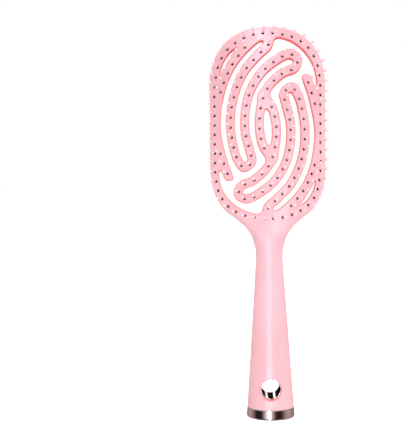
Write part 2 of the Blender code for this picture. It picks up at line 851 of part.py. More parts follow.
def make_liner(material):
    """Metal tube that lines the hanging hole."""
    reach = oval_depth(HOLE_LEVEL) - LINER_RECESS
    inner = LINER_BORE / 2
    outer = inner + LINER_WALL
    profile = (
        (inner, -reach + LINER_LIP), (inner + LINER_LIP, -reach), (outer, -reach),
        (outer, reach), (inner + LINER_LIP, reach), (inner, reach - LINER_LIP),
    )
    return loft(hole_rings(profile), ring_like=True).finish("hanging_hole_liner", material)


def make_cap(material):
    """Cup on the bottom of the handle, with a hollow plug inside it."""
    top = CAP_HEIGHT
    plug_top = CAP_HEIGHT + GAP + PLUG_HEIGHT
    plug = HANDLE_WALL + GAP
    core = plug + PLUG_WALL
    halfway = CAP_EDGE * (1 - math.sqrt(0.5))
    rings = [
        section(0.0, CAP_EDGE, 0.0), section(0.0, halfway, halfway), section(CAP_EDGE, 0.0),
        section(top, 0.0), section(top, plug), section(top, plug, plug_top),
        section(top, core, plug_top), section(top, core, CAP_FLOOR),
    ]
    return loft(rings).finish("end_cap", material)


def main():
    for obj in list(bpy.data.objects):
        bpy.data.objects.remove(obj, do_unlink=True)
    pink = make_material("pink_plastic", (0.93, 0.62, 0.66), 0.35)
    nylon = make_material("nylon", (0.86, 0.83, 0.83), 0.4)
    chrome = make_material("chrome", (0.82, 0.8, 0.8), 0.12, 1.0)
    slots, cavity = plan()
    holes = [disc(p, HOLE_WIDTH, HOLE_SIDES) for p in pin_places()]
    rim_depth = SKIN + GAP + STRIP_THICKNESS
    inset = HANDLE_WALL + TONGUE_GAP
    make_head_shell(
        "head_front", slots, near=front, far=behind_front(rim_depth),
        step_near=lambda x, z: front(x, z, inset), step_far=None, material=pink,
        cavity=cavity, floor=behind_front(SKIN), holes=holes,
    )
    make_head_shell(
        "head_back", slots, near=behind_front(rim_depth + GAP), far=back,
        step_near=None, step_far=lambda x, z: back(x, z, inset), material=pink,
    )
    for name, path, places in pin_rows():
        make_pin_strip(name, path, places, nylon)
    make_handle(pink)
    make_liner(chrome)
    make_cap(chrome)


main()
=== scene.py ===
"""Looks of the vented hairbrush: finer shells, pins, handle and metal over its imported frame.

Sizes are in millimetres and the meshes are made in metres. x runs across the brush, z up the handle
and y from the pins (front, low) to the back, as in the frame.
"""

import math

import bmesh
import bpy
import numpy as np
from mathutils import Matrix, Vector
from mathutils.geometry import delaunay_2d_cdt

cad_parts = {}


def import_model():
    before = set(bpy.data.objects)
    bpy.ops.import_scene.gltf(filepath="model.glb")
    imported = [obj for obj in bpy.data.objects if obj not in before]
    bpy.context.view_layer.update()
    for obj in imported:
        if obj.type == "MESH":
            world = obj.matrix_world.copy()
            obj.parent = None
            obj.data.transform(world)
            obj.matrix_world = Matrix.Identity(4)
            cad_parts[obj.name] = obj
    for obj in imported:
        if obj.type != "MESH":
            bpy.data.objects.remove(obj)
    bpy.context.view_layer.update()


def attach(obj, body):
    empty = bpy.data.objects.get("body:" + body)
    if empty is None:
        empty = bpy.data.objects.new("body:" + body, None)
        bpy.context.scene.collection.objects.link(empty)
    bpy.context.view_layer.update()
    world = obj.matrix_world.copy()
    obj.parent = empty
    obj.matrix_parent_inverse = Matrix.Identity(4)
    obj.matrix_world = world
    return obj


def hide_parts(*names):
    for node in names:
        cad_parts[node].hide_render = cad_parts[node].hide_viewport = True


MM = 0.001

# Outline of head and handle, with the head's points as shares of its half width and rise
HEAD_CENTRE = 180.7
HEAD_HALF_WIDTH = 37.0
HEAD_RISE = 60.5
CROWN_SHARE = 0.57
CROWN_POWER = 2.4
STRAIGHT_SHARES = (0.165, -0.231)
SHOULDER = (
    (0.9919, -0.4628), (0.9459, -0.6281), (0.8595, -0.7603), (0.7297, -0.8678), (0.6, -0.9273),
    (0.4838, -0.9851),
)
JOINT_SHARE = 0.9934
JOINT = HEAD_CENTRE - JOINT_SHARE * HEAD_RISE
NECK = ((13.7, 3.6), (10.5, 8.9), (8.7, 15.4), (8.2, 21.9))
ARC_ACROSS = 55.0
ARC_ALONG = 172.0
HEAD_DEPTH = 6.2
ROOT_DEPTH = 9.5
ROOT_RUN = 28.0

# Maze of slots in the head
RIB_WIDTH = 5.6
FILLET = 3.6
RIBBON = (
    (0.0189, 0.9306), (0.0162, 0.8397), (-0.1459, 0.7455), (-0.3703, 0.6033), (-0.527, 0.4231),
    (-0.6216, 0.2116), (-0.6378, 0.0017), (-0.5811, -0.2231), (-0.5324, -0.3174), (-0.4189, -0.4149),
    (-0.2784, -0.3554), (-0.3135, -0.2397), (-0.3865, -0.043), (-0.3838, 0.1636), (-0.3027, 0.3653),
    (-0.1135, 0.5554), (0.1514, 0.686), (0.373, 0.7471), (0.5108, 0.7008), (0.4649, 0.6116),
    (0.2568, 0.5554), (0.0162, 0.4198), (-0.0865, 0.2909), (-0.1405, 0.1074), (-0.1405, -0.0331),
    (-0.0676, -0.2149), (0.0703, -0.3174),
)
WINDOW = (
    (-0.1108, 0.8744), (-0.2919, 0.7967), (-0.4297, 0.7157), (-0.5676, 0.6066), (-0.6703, 0.4876),
    (-0.7432, 0.3554), (-0.7919, 0.2149), (-0.8135, 0.0744), (-0.8027, -0.0496), (-0.7622, -0.1818),
    (-0.6892, -0.3521), (-0.5946, -0.519), (-0.6, -0.5405), (-0.6189, -0.5471), (-0.7189, -0.5471),
    (-0.7432, -0.5372), (-0.7946, -0.4612), (-0.8216, -0.4446), (-0.8459, -0.4595), (-0.8432, -0.5174),
    (-0.8027, -0.6182), (-0.7216, -0.7091), (-0.6, -0.7917), (-0.4622, -0.8496), (-0.3216, -0.886),
    (-0.1757, -0.9025),
)
CRESCENT = (
    (-0.4973, 0.8264), (-0.5973, 0.7802), (-0.673, 0.7256), (-0.7378, 0.6612), (-0.7811, 0.605),
    (-0.8135, 0.5471),
)
CRESCENT_WIDTH = 2.3

# Rows of pins
PIN_PITCH = 6.5
RIM_PITCH = 6.1
PIN_LENGTH = 18.6
TIP_THICKNESS = 1.9
PIN_FAN = 6.3
RIBBON_ROW_START = 5.6
RIM_ROW = (
    (0.0892, 0.9488), (0.4216, 0.9157), (0.6784, 0.8314), (0.8459, 0.6843), (0.9108, 0.5207),
    (0.9216, 0.1983), (0.9216, -0.1157), (0.9108, -0.4529), (0.8297, -0.6843), (0.6649, -0.8215),
    (0.3595, -0.9223), (0.0946, -0.9488),
)
CRESCENT_ROW = (
    (-0.3838, 0.8198), (-0.5946, 0.6661), (-0.7459, 0.4909), (-0.8081, 0.3901),
)
TAB_ROW = (
    (-0.7027, -0.4727), (-0.7676, -0.357), (-0.8216, -0.2579),
)
RIBBON_STRIPS = 6
RIM_STRIPS = 3

# Insides of the head
GAP = 0.3
SKIN = 2.4
SHELL_WALL = 1.0
STRIP_WIDTH = 2.0
STRIP_THICKNESS = 1.2
STRIP_OVERHANG = 1.6

# Neck, tongue and handle
ROLL_WIDTH = 5.4
ROLL_FLATNESS = 0.6
ROLL_RUN = 12.0
JOINT_FRONT = 6.5
BEND_RUN = 15.0
HANDLE_HALF_WIDTH = 14.8
OVAL_SHARE = 0.98
SIDE_FLAT = 0.5
HANDLE_WALL = 1.8
TONGUE_SIDE = 4.4
TONGUE_GAP = 0.6
TONGUE_RISE = 1.0
TONGUE_DROP = 9.3
NECK_RUN = 24.0

# Hanging hole, liner and cap
HOLE_LEVEL = 18.5
LINER_BORE = 11.2
LINER_WALL = 0.6
LINER_RECESS = 3.0
BOSS_WALL = 1.6
CAP_HEIGHT = 5.9
CAP_EDGE = 1.4
CAP_FLOOR = 1.6
PLUG_WALL = 1.4
PLUG_HEIGHT = 3.0

# Softness that the eye sees: rounded edges, lips and chamfers, the crease under the head, seams
FACE_ROUND = 0.7
BACK_ROUND = 0.9
ROUND_START = 3.0
HOLE_ROUND = 0.12
HOLE_ROUND_MIDDLE = (0.7, 0.3)
MOUTH_ROUND = 0.9
CHAMFER = 0.12
CAP_LIP = 0.08
LINER_LIP = 0.17
END_EDGE = 0.12
CREASE_RUN = 3.5
SEAM = 0.08
CRESCENT_POWER = 0.9
SHARP_ANGLE = 38.0

# Shade of a point, which paints light and shade into the colours. 1 on slot walls and the hanging
# hole's bore, whose salmon is painted shade and bounce light, and on the pin balls' rims, whose pink
# is a painted reflection of the head; 0 on faces and shanks; negative where dark maroon paints shade:
# in pin holes, on the pins' feet and bars and inside the handle's end faces. A wall's shade goes on
# over the start of its rounded edge. The head's outer edge has a share of it, which fades towards the
# joint
PAINTED_SHADE = -1.0
WALL_SHADE_START = 2.2
OUTER_SHADE = 0.35
OUTER_RUN = 20.0

# Round pins: holes, shank rings by distance from the foot, ball rings by angle from the tip
PIN_HOLE = 1.6
PIN_REST = 0.33
SHANK_RADIUS = 0.38
# The shank is dark maroon up to just over the face: a painted shadow at the pin's foot
SHANK_LEVELS = (-0.5, 2.85, 3.15)
SHANK_SHADES = (PAINTED_SHADE, PAINTED_SHADE, 0.0)
BALL_ANGLES = (152.0, 118.0, 84.0, 50.0, 20.0)
# The balls are pink round their middles and white at the tip: a painted reflection of the pink head
BALL_SHADES = (0.5, 1.0, 1.0, 0.75, 0.1)

# Fineness of the plan's curves and of its grid. The shift keeps the grid off the curves' own
# points, and a slot below the least area, in square mm, is an error of the grid. What lies
# nearer than NEAR counts as touching, and no division is by less than LEAST_WIDTH
CROWN_POINTS = 120
CURVE_STEP = 0.4
RIBBON_STEP = 0.8
LEAST_STEPS = 8
FIELD_STEP = 0.3
FIELD_MARGIN = 2.0
GRID_SHIFT = 0.0137
LEAST_SLOT = 1.0
NEAR = 1e-6
FAR = 1e9
LEAST_WIDTH = 0.01

# Fineness of the meshes: steps in mm, the sewing distance in metres, and counts of points or rings
EDGE_STEP = 0.55
OUTLINE_STEP = 3 * EDGE_STEP
CAVITY_STEP = 2 * EDGE_STEP
FILL_STEP = 1.3
FACE_CLEAR = 0.45 * FILL_STEP
BACK_STEP = 2 * FILL_STEP
FLOOR_STEP = 1.5 * FILL_STEP
FLOOR_CLEAR = 0.5 * FILL_STEP
HOLE_CLEAR = 0.7
PATH_STEP = 1.2
LEVEL_STEP = 1.6
SEW_DISTANCE = 2e-7
ROUND_STEPS = 4
HOLE_SIDES = 12
PIN_SIDES = 8
HALF_SECTION = 41
ROUND_SIDES = 72
TONGUE_LEVELS = 7
TONGUE_COLUMNS = 9
NECK_LEVELS = 25
MOUTH_RINGS = 7
LIP_POINTS = 9
CAP_ROUND_RINGS = 8
CAP_SIDE_RINGS = 4

# Camera: distance and height in metres, turns in degrees, focal length in the photograph's pixels
CAMERA_DISTANCE = 0.5501
CAMERA_HEIGHT = 0.1235
CAMERA_AZIMUTH = -1.6
CAMERA_YAW = 4.255
CAMERA_ROLL = -0.523
FOCAL_PIXELS = 879.0
PICTURE_HEIGHT = 437
SENSOR = 36.0

# Looks, with colours as linear red, green and blue. Noise has a scale, a detail and the span of it
# that counts, roughness and gloss are the shader's own, and grain is a bump's scale and strength
# Dark maroon painted as shade in pin holes, on the pins' feet and bars and in the seam over the cap
PAINTED_SHADE_MAROON = (0.2, 0.001, 0.002)
# On cut walls the pink takes a salmon tone: painted shade and bounce light in the slots
PINK_LOOK = {
    "drift": 30.0, "plain": (0.905, 0.48, 0.53), "warm": (0.93, 0.535, 0.59),
    "painted_light_tone": (1.0, 0.23, 0.23), "rough_scale": 90.0, "rough": (0.38, 0.46), "gloss": 0.8,
    "grain": (900.0, 0.12),
}
# The nylon's pink at the balls' rims is a painted reflection of the pink head
NYLON_LOOK = {
    "drift": 120.0, "plain": (0.93, 0.9, 0.91), "warm": (0.96, 0.94, 0.94),
    "painted_light_tone": (0.92, 0.46, 0.6), "rough_scale": 300.0, "rough": (0.5, 0.62), "gloss": 0.5,
    "grain": (1500.0, 0.03),
}
SOAK_SHARE = 0.3
SOAK_RADIUS = (1.0, 0.25, 0.25)
SOAK_DEPTH = 1.2
CHROME_CLEAN = (0.93, 0.9, 0.9)
CHROME_DULL = (0.88, 0.84, 0.84)
SMUDGE_SCALE = 160.0
SMUDGE_DETAIL = 4.0
SMUDGE_TONE_SPAN = (0.35, 0.7)
SMUDGE_ROUGH_SPAN = (0.3, 0.75)
CHROME_ROUGH = (0.02, 0.035)
CHROME_GRAIN = (260.0, 0.02)
FLOOR_PALE = (0.95, 0.95, 0.95)
FLOOR_PALER = (0.97, 0.97, 0.97)
FLOOR_SPECKLE = 8.0
FLOOR_ROUGH = 0.9
NOISE_SPAN = (0.3, 0.7)
NOISE_DETAIL = 2.0
GRAIN_DETAIL = 3.0
GRAIN_DEPTH = 0.05
WHITE = (1.0, 1.0, 1.0)

# Light, in metres but for the floor's drop below the brush. The key lamp aims at a share of the
# height of the head's centre
ROOM_LIGHT = 0.93
FLOOR_GLOW = 0.5
FLOOR_REACH = 3.0
FLOOR_DROP = 0.05
KEY_PLACE = (0.38, -1.0, 0.95)
KEY_SIZE = (0.5, 0.5)
KEY_POWER = 5.8
KEY_AIM = 0.7

# What gloss sees, by degrees from the camera's side, below the horizon and above the strip's edge
DARK = (0.01, 0.006, 0.006)
DIM = (0.02, 0.012, 0.01)
CORE = (27.0, 25.5, 28.0)
SLIT = (1.1, 1.05, 1.1)
BRIGHT = (1.05, 1.0, 1.05)
GREY = (0.5, 0.45, 0.48)
LOW_CARDS = (
    (-180.0, DARK), (-164.0, DARK), (-145.0, (0.36, 0.26, 0.26)), (-110.0, (0.42, 0.3, 0.3)),
    (-88.0, (0.2, 0.13, 0.12)), (-70.0, DIM), (-46.0, DIM), (-38.0, (0.1, 0.065, 0.06)),
    (-30.0, (0.34, 0.25, 0.24)), (-21.0, (0.78, 0.62, 0.66)), (-14.0, (1.02, 0.95, 1.0)),
    (-10.0, BRIGHT), (-9.0, CORE), (-1.0, CORE), (0.0, BRIGHT), (2.0, (1.0, 0.88, 0.95)),
    (7.0, (0.66, 0.5, 0.52)), (17.0, (0.23, 0.15, 0.14)), (27.0, (0.04, 0.02, 0.02)),
    (46.0, DIM), (58.0, (0.1, 0.055, 0.05)), (76.0, (0.34, 0.23, 0.22)),
    (96.0, (0.43, 0.32, 0.31)), (122.0, (0.3, 0.2, 0.19)), (150.0, (0.26, 0.2, 0.2)),
    (164.0, DARK), (180.0, DARK),
)
HIGH_CARDS = (
    (-180.0, DARK), (-173.8, DARK), (-173.2, SLIT), (-169.7, SLIT), (-169.4, DARK),
    (-160.0, DARK), (-140.0, (0.5, 0.4, 0.42)), (-100.0, (1.0, 0.95, 1.0)),
    (-50.0, (1.4, 1.35, 1.4)), (-15.0, GREY), (15.0, GREY), (50.0, (1.5, 1.45, 1.5)),
    (100.0, (1.0, 0.95, 1.0)), (140.0, (0.5, 0.4, 0.42)), (160.0, DARK), (169.4, DARK),
    (169.7, SLIT), (173.2, SLIT), (173.8, DARK), (180.0, DARK),
)
STRIP_EDGE = (0.03, 0.1)


# Curves in the plan of the head, as arrays of (x, z) from the head's centre

def spline(points, closed=False, step=CURVE_STEP):
    """Centripetal Catmull-Rom curve: each stretch blends the lines through its four nearest points."""
    p = np.array(points, float)
    if closed:
        p = np.vstack([p[-1], p, p[0], p[1]])
    else:
        p = np.vstack([2 * p[0] - p[1], p, 2 * p[-1] - p[-2]])
    curve = []
    for a, b, c, d in zip(p[:-3], p[1:-2], p[2:-1], p[3:]):
        t1 = math.sqrt(np.linalg.norm(b - a))
        t2 = t1 + math.sqrt(np.linalg.norm(c - b))
        t3 = t2 + math.sqrt(np.linalg.norm(d - c))
        count = max(2, math.ceil(np.linalg.norm(c - b) / step))
        t = np.linspace(t1, t2, count, endpoint=False)[:, None]
        ab = (t1 - t) / t1 * a + t / t1 * b
        bc = (t2 - t) / (t2 - t1) * b + (t - t1) / (t2 - t1) * c
        cd = (t3 - t) / (t3 - t2) * c + (t - t2) / (t3 - t2) * d
        abc = (t2 - t) / t2 * ab + t / t2 * bc
        bcd = (t3 - t) / (t3 - t1) * bc + (t - t1) / (t3 - t1) * cd
        curve.append((t2 - t) / (t2 - t1) * abc + (t - t1) / (t2 - t1) * bcd)
    if not closed:
        curve.append(p[-2:-1])
    return np.vstack(curve)


def extended(path, extra):
    """The path with a straight stretch added at each end."""
    first = path[0] - path[1]
    last = path[-1] - path[-2]
    start = path[0] + first / np.linalg.norm(first) * extra
    end = path[-1] + last / np.linalg.norm(last) * extra
    return np.vstack([start, path, end])


def on_head(shares):
    """Points from the head's centre for shares of its half width and rise."""
    return np.array(shares) * [HEAD_HALF_WIDTH, HEAD_RISE]


def lengths(path):
    """Distance along a path at each of its points."""
    return np.concatenate([[0.0], np.cumsum(np.linalg.norm(np.diff(path, axis=0), axis=1))])


def along(path, distances):
    """Points of a path at some distances from its start."""
    s = lengths(path)
    return np.column_stack([np.interp(distances, s, path[:, 0]), np.interp(distances, s, path[:, 1])])


def even(path, step, closed=False):
    """The path with even steps, each point then averaged with its neighbours where it is closed."""
    if closed:
        path = np.vstack([path, path[:1]])
    total = lengths(path)[-1]
    count = max(LEAST_STEPS, round(total / step))
    points = along(path, np.linspace(0.0, total, count + 1))
    if not closed:
        return points
    points = points[:-1]
    return points / 2 + (np.roll(points, 1, axis=0) + np.roll(points, -1, axis=0)) / 4


def normals(path, closed=True):
    """Unit normals of a path, to the left of its run."""
    if closed:
        t = np.roll(path, -1, axis=0) - np.roll(path, 1, axis=0)
    else:
        t = np.gradient(path, axis=0)
    t = t / np.linalg.norm(t, axis=1)[:, None]
    return np.column_stack([-t[:, 1], t[:, 0]])


def area(loop):
    """Signed area of a closed loop, positive where it runs against the clock."""
    x, z = loop.T
    return float(np.sum(x * np.roll(z, -1) - np.roll(x, -1) * z)) / 2


# Outline of the whole brush, seen from the front

def right_side():
    """Right edge of head and handle as (half width, z): a superellipse, a spline, a straight line."""
    crown_rise = CROWN_SHARE * HEAD_RISE
    angle = np.linspace(0.0, math.pi / 2, CROWN_POINTS)
    x = HEAD_HALF_WIDTH * np.sin(angle) ** (2 / CROWN_POWER)
    z = HEAD_RISE - crown_rise + crown_rise * np.cos(angle) ** (2 / CROWN_POWER)
    crown = np.column_stack([x, z + HEAD_CENTRE])
    straight = on_head([(1.0, level) for level in STRAIGHT_SHARES])
    shoulder = np.vstack([straight, on_head(SHOULDER)]) + [0.0, HEAD_CENTRE]
    neck = [(wide, JOINT - drop) for wide, drop in NECK]
    return np.vstack([crown, spline(np.vstack([shoulder, neck])), [(HANDLE_HALF_WIDTH, 0.0)]])


SIDE = right_side()


def half_width(z):
    """Half the brush's width at height z."""
    return np.interp(-np.asarray(z), -SIDE[:, 1], SIDE[:, 0])


# Surfaces: every height is a y for points (x, z), all as whole arrays

def smooth(t):
    """Smooth step from 0 to 1."""
    t = np.clip(t, 0.0, 1.0)
    return t * t * (3 - 2 * t)


def bow(z):
    """How far the head's middle line lies in front of its deepest point: a parabola along z."""
    return (z - HEAD_CENTRE) ** 2 / (2 * ARC_ALONG)


def crease(z):
    """Extra y that rounds the crease at the joint: a parabola in place of the corner's two lines."""
    t = z - JOINT
    slope = (HEAD_CENTRE - JOINT) / ARC_ALONG
    blend = np.clip(t + CREASE_RUN, 0.0, 2 * CREASE_RUN) ** 2 / (4 * CREASE_RUN)
    blend = np.where(t > CREASE_RUN, t, blend)
    return slope * (blend - np.maximum(t, 0.0))


def head_share(z):
    """How much of the head's section is left at z: all down to the joint, none below the neck."""
    return 1 - smooth((JOINT - z) / BEND_RUN)


def oval_depth(z):
    """Half the depth of the handle's oval."""
    return half_width(z) * OVAL_SHARE


def front_middle(z):
    """y of the front on the middle line: the neck's blend below the joint, the head's bow above."""
    share = head_share(z)
    neck = -share * JOINT_FRONT - (1 - share) * oval_depth(z)
    return np.where(z >= JOINT, bow(JOINT) - bow(z) - JOINT_FRONT, neck) + crease(z)


def back_middle(z):
    """y of the back on the middle line."""
    root = 1 - smooth((z - JOINT) / ROOT_RUN)
    head = front_middle(z) + HEAD_DEPTH + (ROOT_DEPTH - HEAD_DEPTH) * root
    share = head_share(z)
    neck = share * (ROOT_DEPTH - JOINT_FRONT) + (1 - share) * oval_depth(z)
    return np.where(z >= JOINT, head, neck + crease(z))


def arc(x):
    """How far the circle across the head falls back at x."""
    return ARC_ACROSS - np.sqrt(ARC_ACROSS ** 2 - x ** 2)


def roll(x, z, inset):
    """How far the rounded side has fallen from the face at x: a quarter ellipse ending at the edge."""
    width = np.maximum(ROLL_WIDTH * (1 - smooth((z - JOINT) / ROLL_RUN)) - inset, 0.0)
    over = np.clip(np.abs(x) - (half_width(z) - inset - width), 0.0, width)
    return ROLL_FLATNESS * (width - np.sqrt(width ** 2 - over ** 2))


def oval(x, z, depth, inset):
    """How far the oval has fallen from its middle line at x: an ellipse less the flat of its side."""
    across = np.clip(np.abs(x) / np.maximum(half_width(z) - inset, LEAST_WIDTH), 0.0, 1.0)
    return (depth - SIDE_FLAT) * (1 - np.sqrt(1 - across ** 2))


def front(x, z, inset=0.0):
    """Front surface: middle line plus the fall of arc and rolled side, turning into the oval's."""
    middle = front_middle(z) + inset
    share = head_share(z)
    return middle + share * (arc(x) + roll(x, z, inset)) + (1 - share) * oval(x, z, -middle, inset)


def back(x, z, inset=0.0):
    """Back surface, made in the same way as the front."""
    middle = back_middle(z) - inset
    share = head_share(z)
    return middle + share * (arc(x) - roll(x, z, inset)) - (1 - share) * oval(x, z, middle, inset)


def behind_front(depth):
    """Surface at a fixed depth behind the head's face, without its rolled sides."""
    return lambda x, z: front_middle(z) + arc(x) + depth


# Maze of the head, as a field of distances that is negative in the plastic

def path_distance(px, pz, path, closed=False):
    """Distance from points to a path: the least of those to its straight pieces."""
    ends = np.vstack([path[1:], path[:1]]) if closed else path[1:]
    best = np.full(np.shape(px), FAR)
    for a, b in zip(path, ends):
        d = b - a
        t = np.clip(((px - a[0]) * d[0] + (pz - a[1]) * d[1]) / max(d @ d, NEAR ** 2), 0, 1)
        best = np.minimum(best, (px - a[0] - t * d[0]) ** 2 + (pz - a[1] - t * d[1]) ** 2)
    return np.sqrt(best)


def inside(px, pz, loop):
    """Whether points lie inside a closed loop."""
    result = np.zeros(np.shape(px), bool)
    ends = np.vstack([loop[1:], loop[:1]])
    for a, b in zip(loop, ends):
        if a[1] != b[1]:
            crosses = (a[1] > pz) != (b[1] > pz)
            result ^= crosses & (px < (b[0] - a[0]) * (pz - a[1]) / (b[1] - a[1]) + a[0])
    return result


def loop_field(px, pz, loop):
    """Signed distance to a loop, negative inside it."""
    d = path_distance(px, pz, loop, closed=True)
    return np.where(inside(px, pz, loop), -d, d)


def crescent_loop():
    """Slot round the crescent's middle line, as wide as a power of a sine along it."""
    middle = spline(on_head(CRESCENT))
    wave = np.sin(np.pi * lengths(middle) / lengths(middle)[-1]).clip(0)
    swell = (wave ** CRESCENT_POWER)[:, None]
    side = normals(middle, closed=False) * swell * CRESCENT_WIDTH / 2
    return np.vstack([middle + side, (middle - side)[::-1]])


def maze_field(px, pz):
    """Rim, ribbon and tabs: bands round the ribbon joined to the rim by fillets, less the crescents."""
    half = on_head(WINDOW)
    window = spline(np.vstack([half, -half]), closed=True)
    field = -loop_field(px, pz, window)
    path = spline(on_head(RIBBON), step=RIBBON_STEP)
    for ribbon in (path, -path):
        band = path_distance(px, pz, ribbon) - RIB_WIDTH / 2
        blend = np.maximum(FILLET - np.abs(field - band), 0) / FILLET
        field = np.minimum(field, band) - blend * blend * FILLET / 4
    for slot in (crescent_loop(), -crescent_loop()):
        field = np.maximum(field, -loop_field(px, pz, slot))
    return field


def contours(xs, zs, field, level):
    """Closed loops where a gridded field equals the level, cut on the edges of the grid's squares."""
    f = field - level
    f = np.where(np.abs(f) < NEAR, NEAR, f)
    low = f < 0
    corners = low[:-1, :-1].astype(int) + low[:-1, 1:] + low[1:, 1:] + low[1:, :-1]
    following = {}
    place = {}
    for i, j in zip(*np.nonzero((corners > 0) & (corners < 4))):
        square = ((i, j), (i, j + 1), (i + 1, j + 1), (i + 1, j))
        cuts = []
        for p, q in zip(square, square[1:] + square[:1]):
            if low[p] != low[q]:
                edge = (min(p, q), max(p, q))
                t = f[edge[0]] / (f[edge[0]] - f[edge[1]])
                (i0, j0), (i1, j1) = edge
                place[edge] = (xs[j0] + t * (xs[j1] - xs[j0]), zs[i0] + t * (zs[i1] - zs[i0]))
                cuts.append((edge, low[p]))
        if len(cuts) == 4 and not cuts[0][1]:
            cuts = cuts[1:] + cuts[:1]
        for (edge_a, leaving), (edge_b, _) in zip(cuts[::2], cuts[1::2]):
            start, end = (edge_a, edge_b) if leaving else (edge_b, edge_a)
            following[start] = end
    loops = []
    while following:
        start = next(iter(following))
        loop = [start]
        step = following.pop(start)
        while step != start:
            loop.append(step)
            step = following.pop(step)
        loops.append(np.array([place[edge] for edge in loop]))
    return loops


def head_outline(step):
    """Head's edge in the plan, open at the joint: from its right corner over the top to its left."""
    above = SIDE[SIDE[:, 1] > JOINT]
    right = np.vstack([above, [half_width(JOINT), JOINT]])[::-1]
    path = np.vstack([right, right[::-1][1:] * [-1, 1]])
    return even(path, step)


def plan():
    """Loops of the plan in part coordinates: slots, and the cavity behind the face's skin."""
    xs = np.arange(-HEAD_HALF_WIDTH - FIELD_MARGIN, HEAD_HALF_WIDTH + FIELD_MARGIN, FIELD_STEP)
    zs = np.arange(-HEAD_RISE - FIELD_MARGIN, HEAD_RISE + FIELD_MARGIN, FIELD_STEP)
    px, pz = np.meshgrid(xs + GRID_SHIFT, zs + GRID_SHIFT)
    maze = maze_field(px, pz)
    edge = head_outline(OUTLINE_STEP) - [0.0, HEAD_CENTRE]
    whole = np.maximum(maze, loop_field(px, pz, edge))
    up = [0.0, HEAD_CENTRE]
    gaps = [loop for loop in contours(px[0], pz[:, 0], maze, 0.0) if abs(area(loop)) > LEAST_SLOT]
    slots = [even(loop, EDGE_STEP, closed=True) + up for loop in gaps]
    inner = contours(px[0], pz[:, 0], whole, -SHELL_WALL)
    cavity = [even(loop, CAVITY_STEP, closed=True) + up for loop in inner]
    return slots, cavity


# Meshes: patches of points and faces, sewn where their points coincide

class Patchwork:
    """Patches of points and faces that make one closed mesh, with a shade for each point."""

    def __init__(self):
        self.points = []
        self.faces = []
        self.shade = []
        self.count = 0

    def add(self, points, faces, shade=0.0):
        """Adds a patch: an array of points and an array of faces that count from its first point."""
        points = np.asarray(points, float)
        self.points.append(points)
        self.faces += (np.asarray(faces) + self.count).tolist()
        self.shade.append(np.broadcast_to(np.asarray(shade, float), len(points)))
        self.count += len(points)

    def sheet(self, loops, height, fill=()):
        """Patch y = height(x, z) over the plan inside an odd number of loops, with fill points."""
        everything = np.vstack(loops + [np.reshape(fill, (-1, 2))])
        edges = []
        first = 0
        for loop in loops:
            ring = first + np.arange(len(loop))
            edges += np.column_stack([ring, np.roll(ring, -1)]).tolist()
            first += len(loop)
        made, _, triangles, sources, _, _ = delaunay_2d_cdt(
            [Vector(p) for p in everything], edges, [], 0, NEAR)
        flat = np.array([everything[own[0]] if own else tuple(p) for p, own in zip(made, sources)])
        triangles = np.array(triangles)
        middles = flat[triangles].mean(axis=1)
        odd = np.zeros(len(triangles), bool)
        for loop in loops:
            odd ^= inside(middles[:, 0], middles[:, 1], loop)
        x, z = flat.T
        self.add(np.column_stack([x, height(x, z), z]), triangles[odd])

    def band(self, loop, inward, rings, shade=0.0, closed=True):
        """Profile carried along a loop: each ring is (distance inward, y at its points)."""
        n = len(loop)
        points = []
        for inset, height in rings:
            x, z = (loop + inward * np.broadcast_to(inset, n)[:, None]).T
            points.append(np.column_stack([x, height(x, z), z]))
        a = np.arange(n if closed else n - 1)
        b = (a + 1) % n
        faces = [np.column_stack([a + k * n, b + k * n, b + (k + 1) * n, a + (k + 1) * n])
                 for k in range(len(rings) - 1)]
        self.add(np.vstack(points), np.vstack(faces), shade)

    def rings(self, rings, shade=0.0, around=True, capped=True):
        """Loft through rings of equally many points, closed round them and capped at its ends."""
        rings = np.asarray(rings, float)
        count, n, _ = rings.shape
        k, i = np.meshgrid(np.arange(count - 1), np.arange(n if around else n - 1), indexing="ij")
        k, i = k.ravel(), i.ravel()
        j = (i + 1) % n
        faces = np.column_stack([k * n + i, k * n + j, (k + 1) * n + j, (k + 1) * n + i])
        self.add(rings.reshape(-1, 3), faces, shade)
        if capped:
            shades = np.broadcast_to(shade, count * n)
            fan = np.column_stack([np.arange(n), np.roll(np.arange(n), -1), np.full(n, n)])
            for ring, own in ((rings[0], shades[0]), (rings[-1], shades[-1])):
                self.add(np.vstack([ring, ring.mean(axis=0)]), fan, own)

    def finish(self, name, material, slot, *nodes):
        """Sews the patches into one mesh, points its faces outwards and puts it in the scene."""
        mesh = bpy.data.meshes.new(name)
        mesh.from_pydata(np.vstack(self.points) * MM, [], self.faces)
        values = mesh.attributes.new("shade", "FLOAT", "POINT")
        values.data.foreach_set("value", np.concatenate(self.shade))
        body = bmesh.new()
        body.from_mesh(mesh)
        bmesh.ops.remove_doubles(body, verts=body.verts, dist=SEW_DISTANCE)
        bmesh.ops.recalc_face_normals(body, faces=body.faces)
        open_edges = sum(not edge.is_manifold for edge in body.edges)
        if open_edges:
            print(name, "has", open_edges, "edges that aren't between two faces")
        body.to_mesh(mesh)
        body.free()
        mesh.materials.append(material)
        mesh.shade_smooth()
        mesh.set_sharp_from_angle(angle=math.radians(SHARP_ANGLE))
        obj = bpy.data.objects.new(name, mesh)
        bpy.context.scene.collection.objects.link(obj)
        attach(obj, "root")
        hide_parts(*nodes)
        return obj


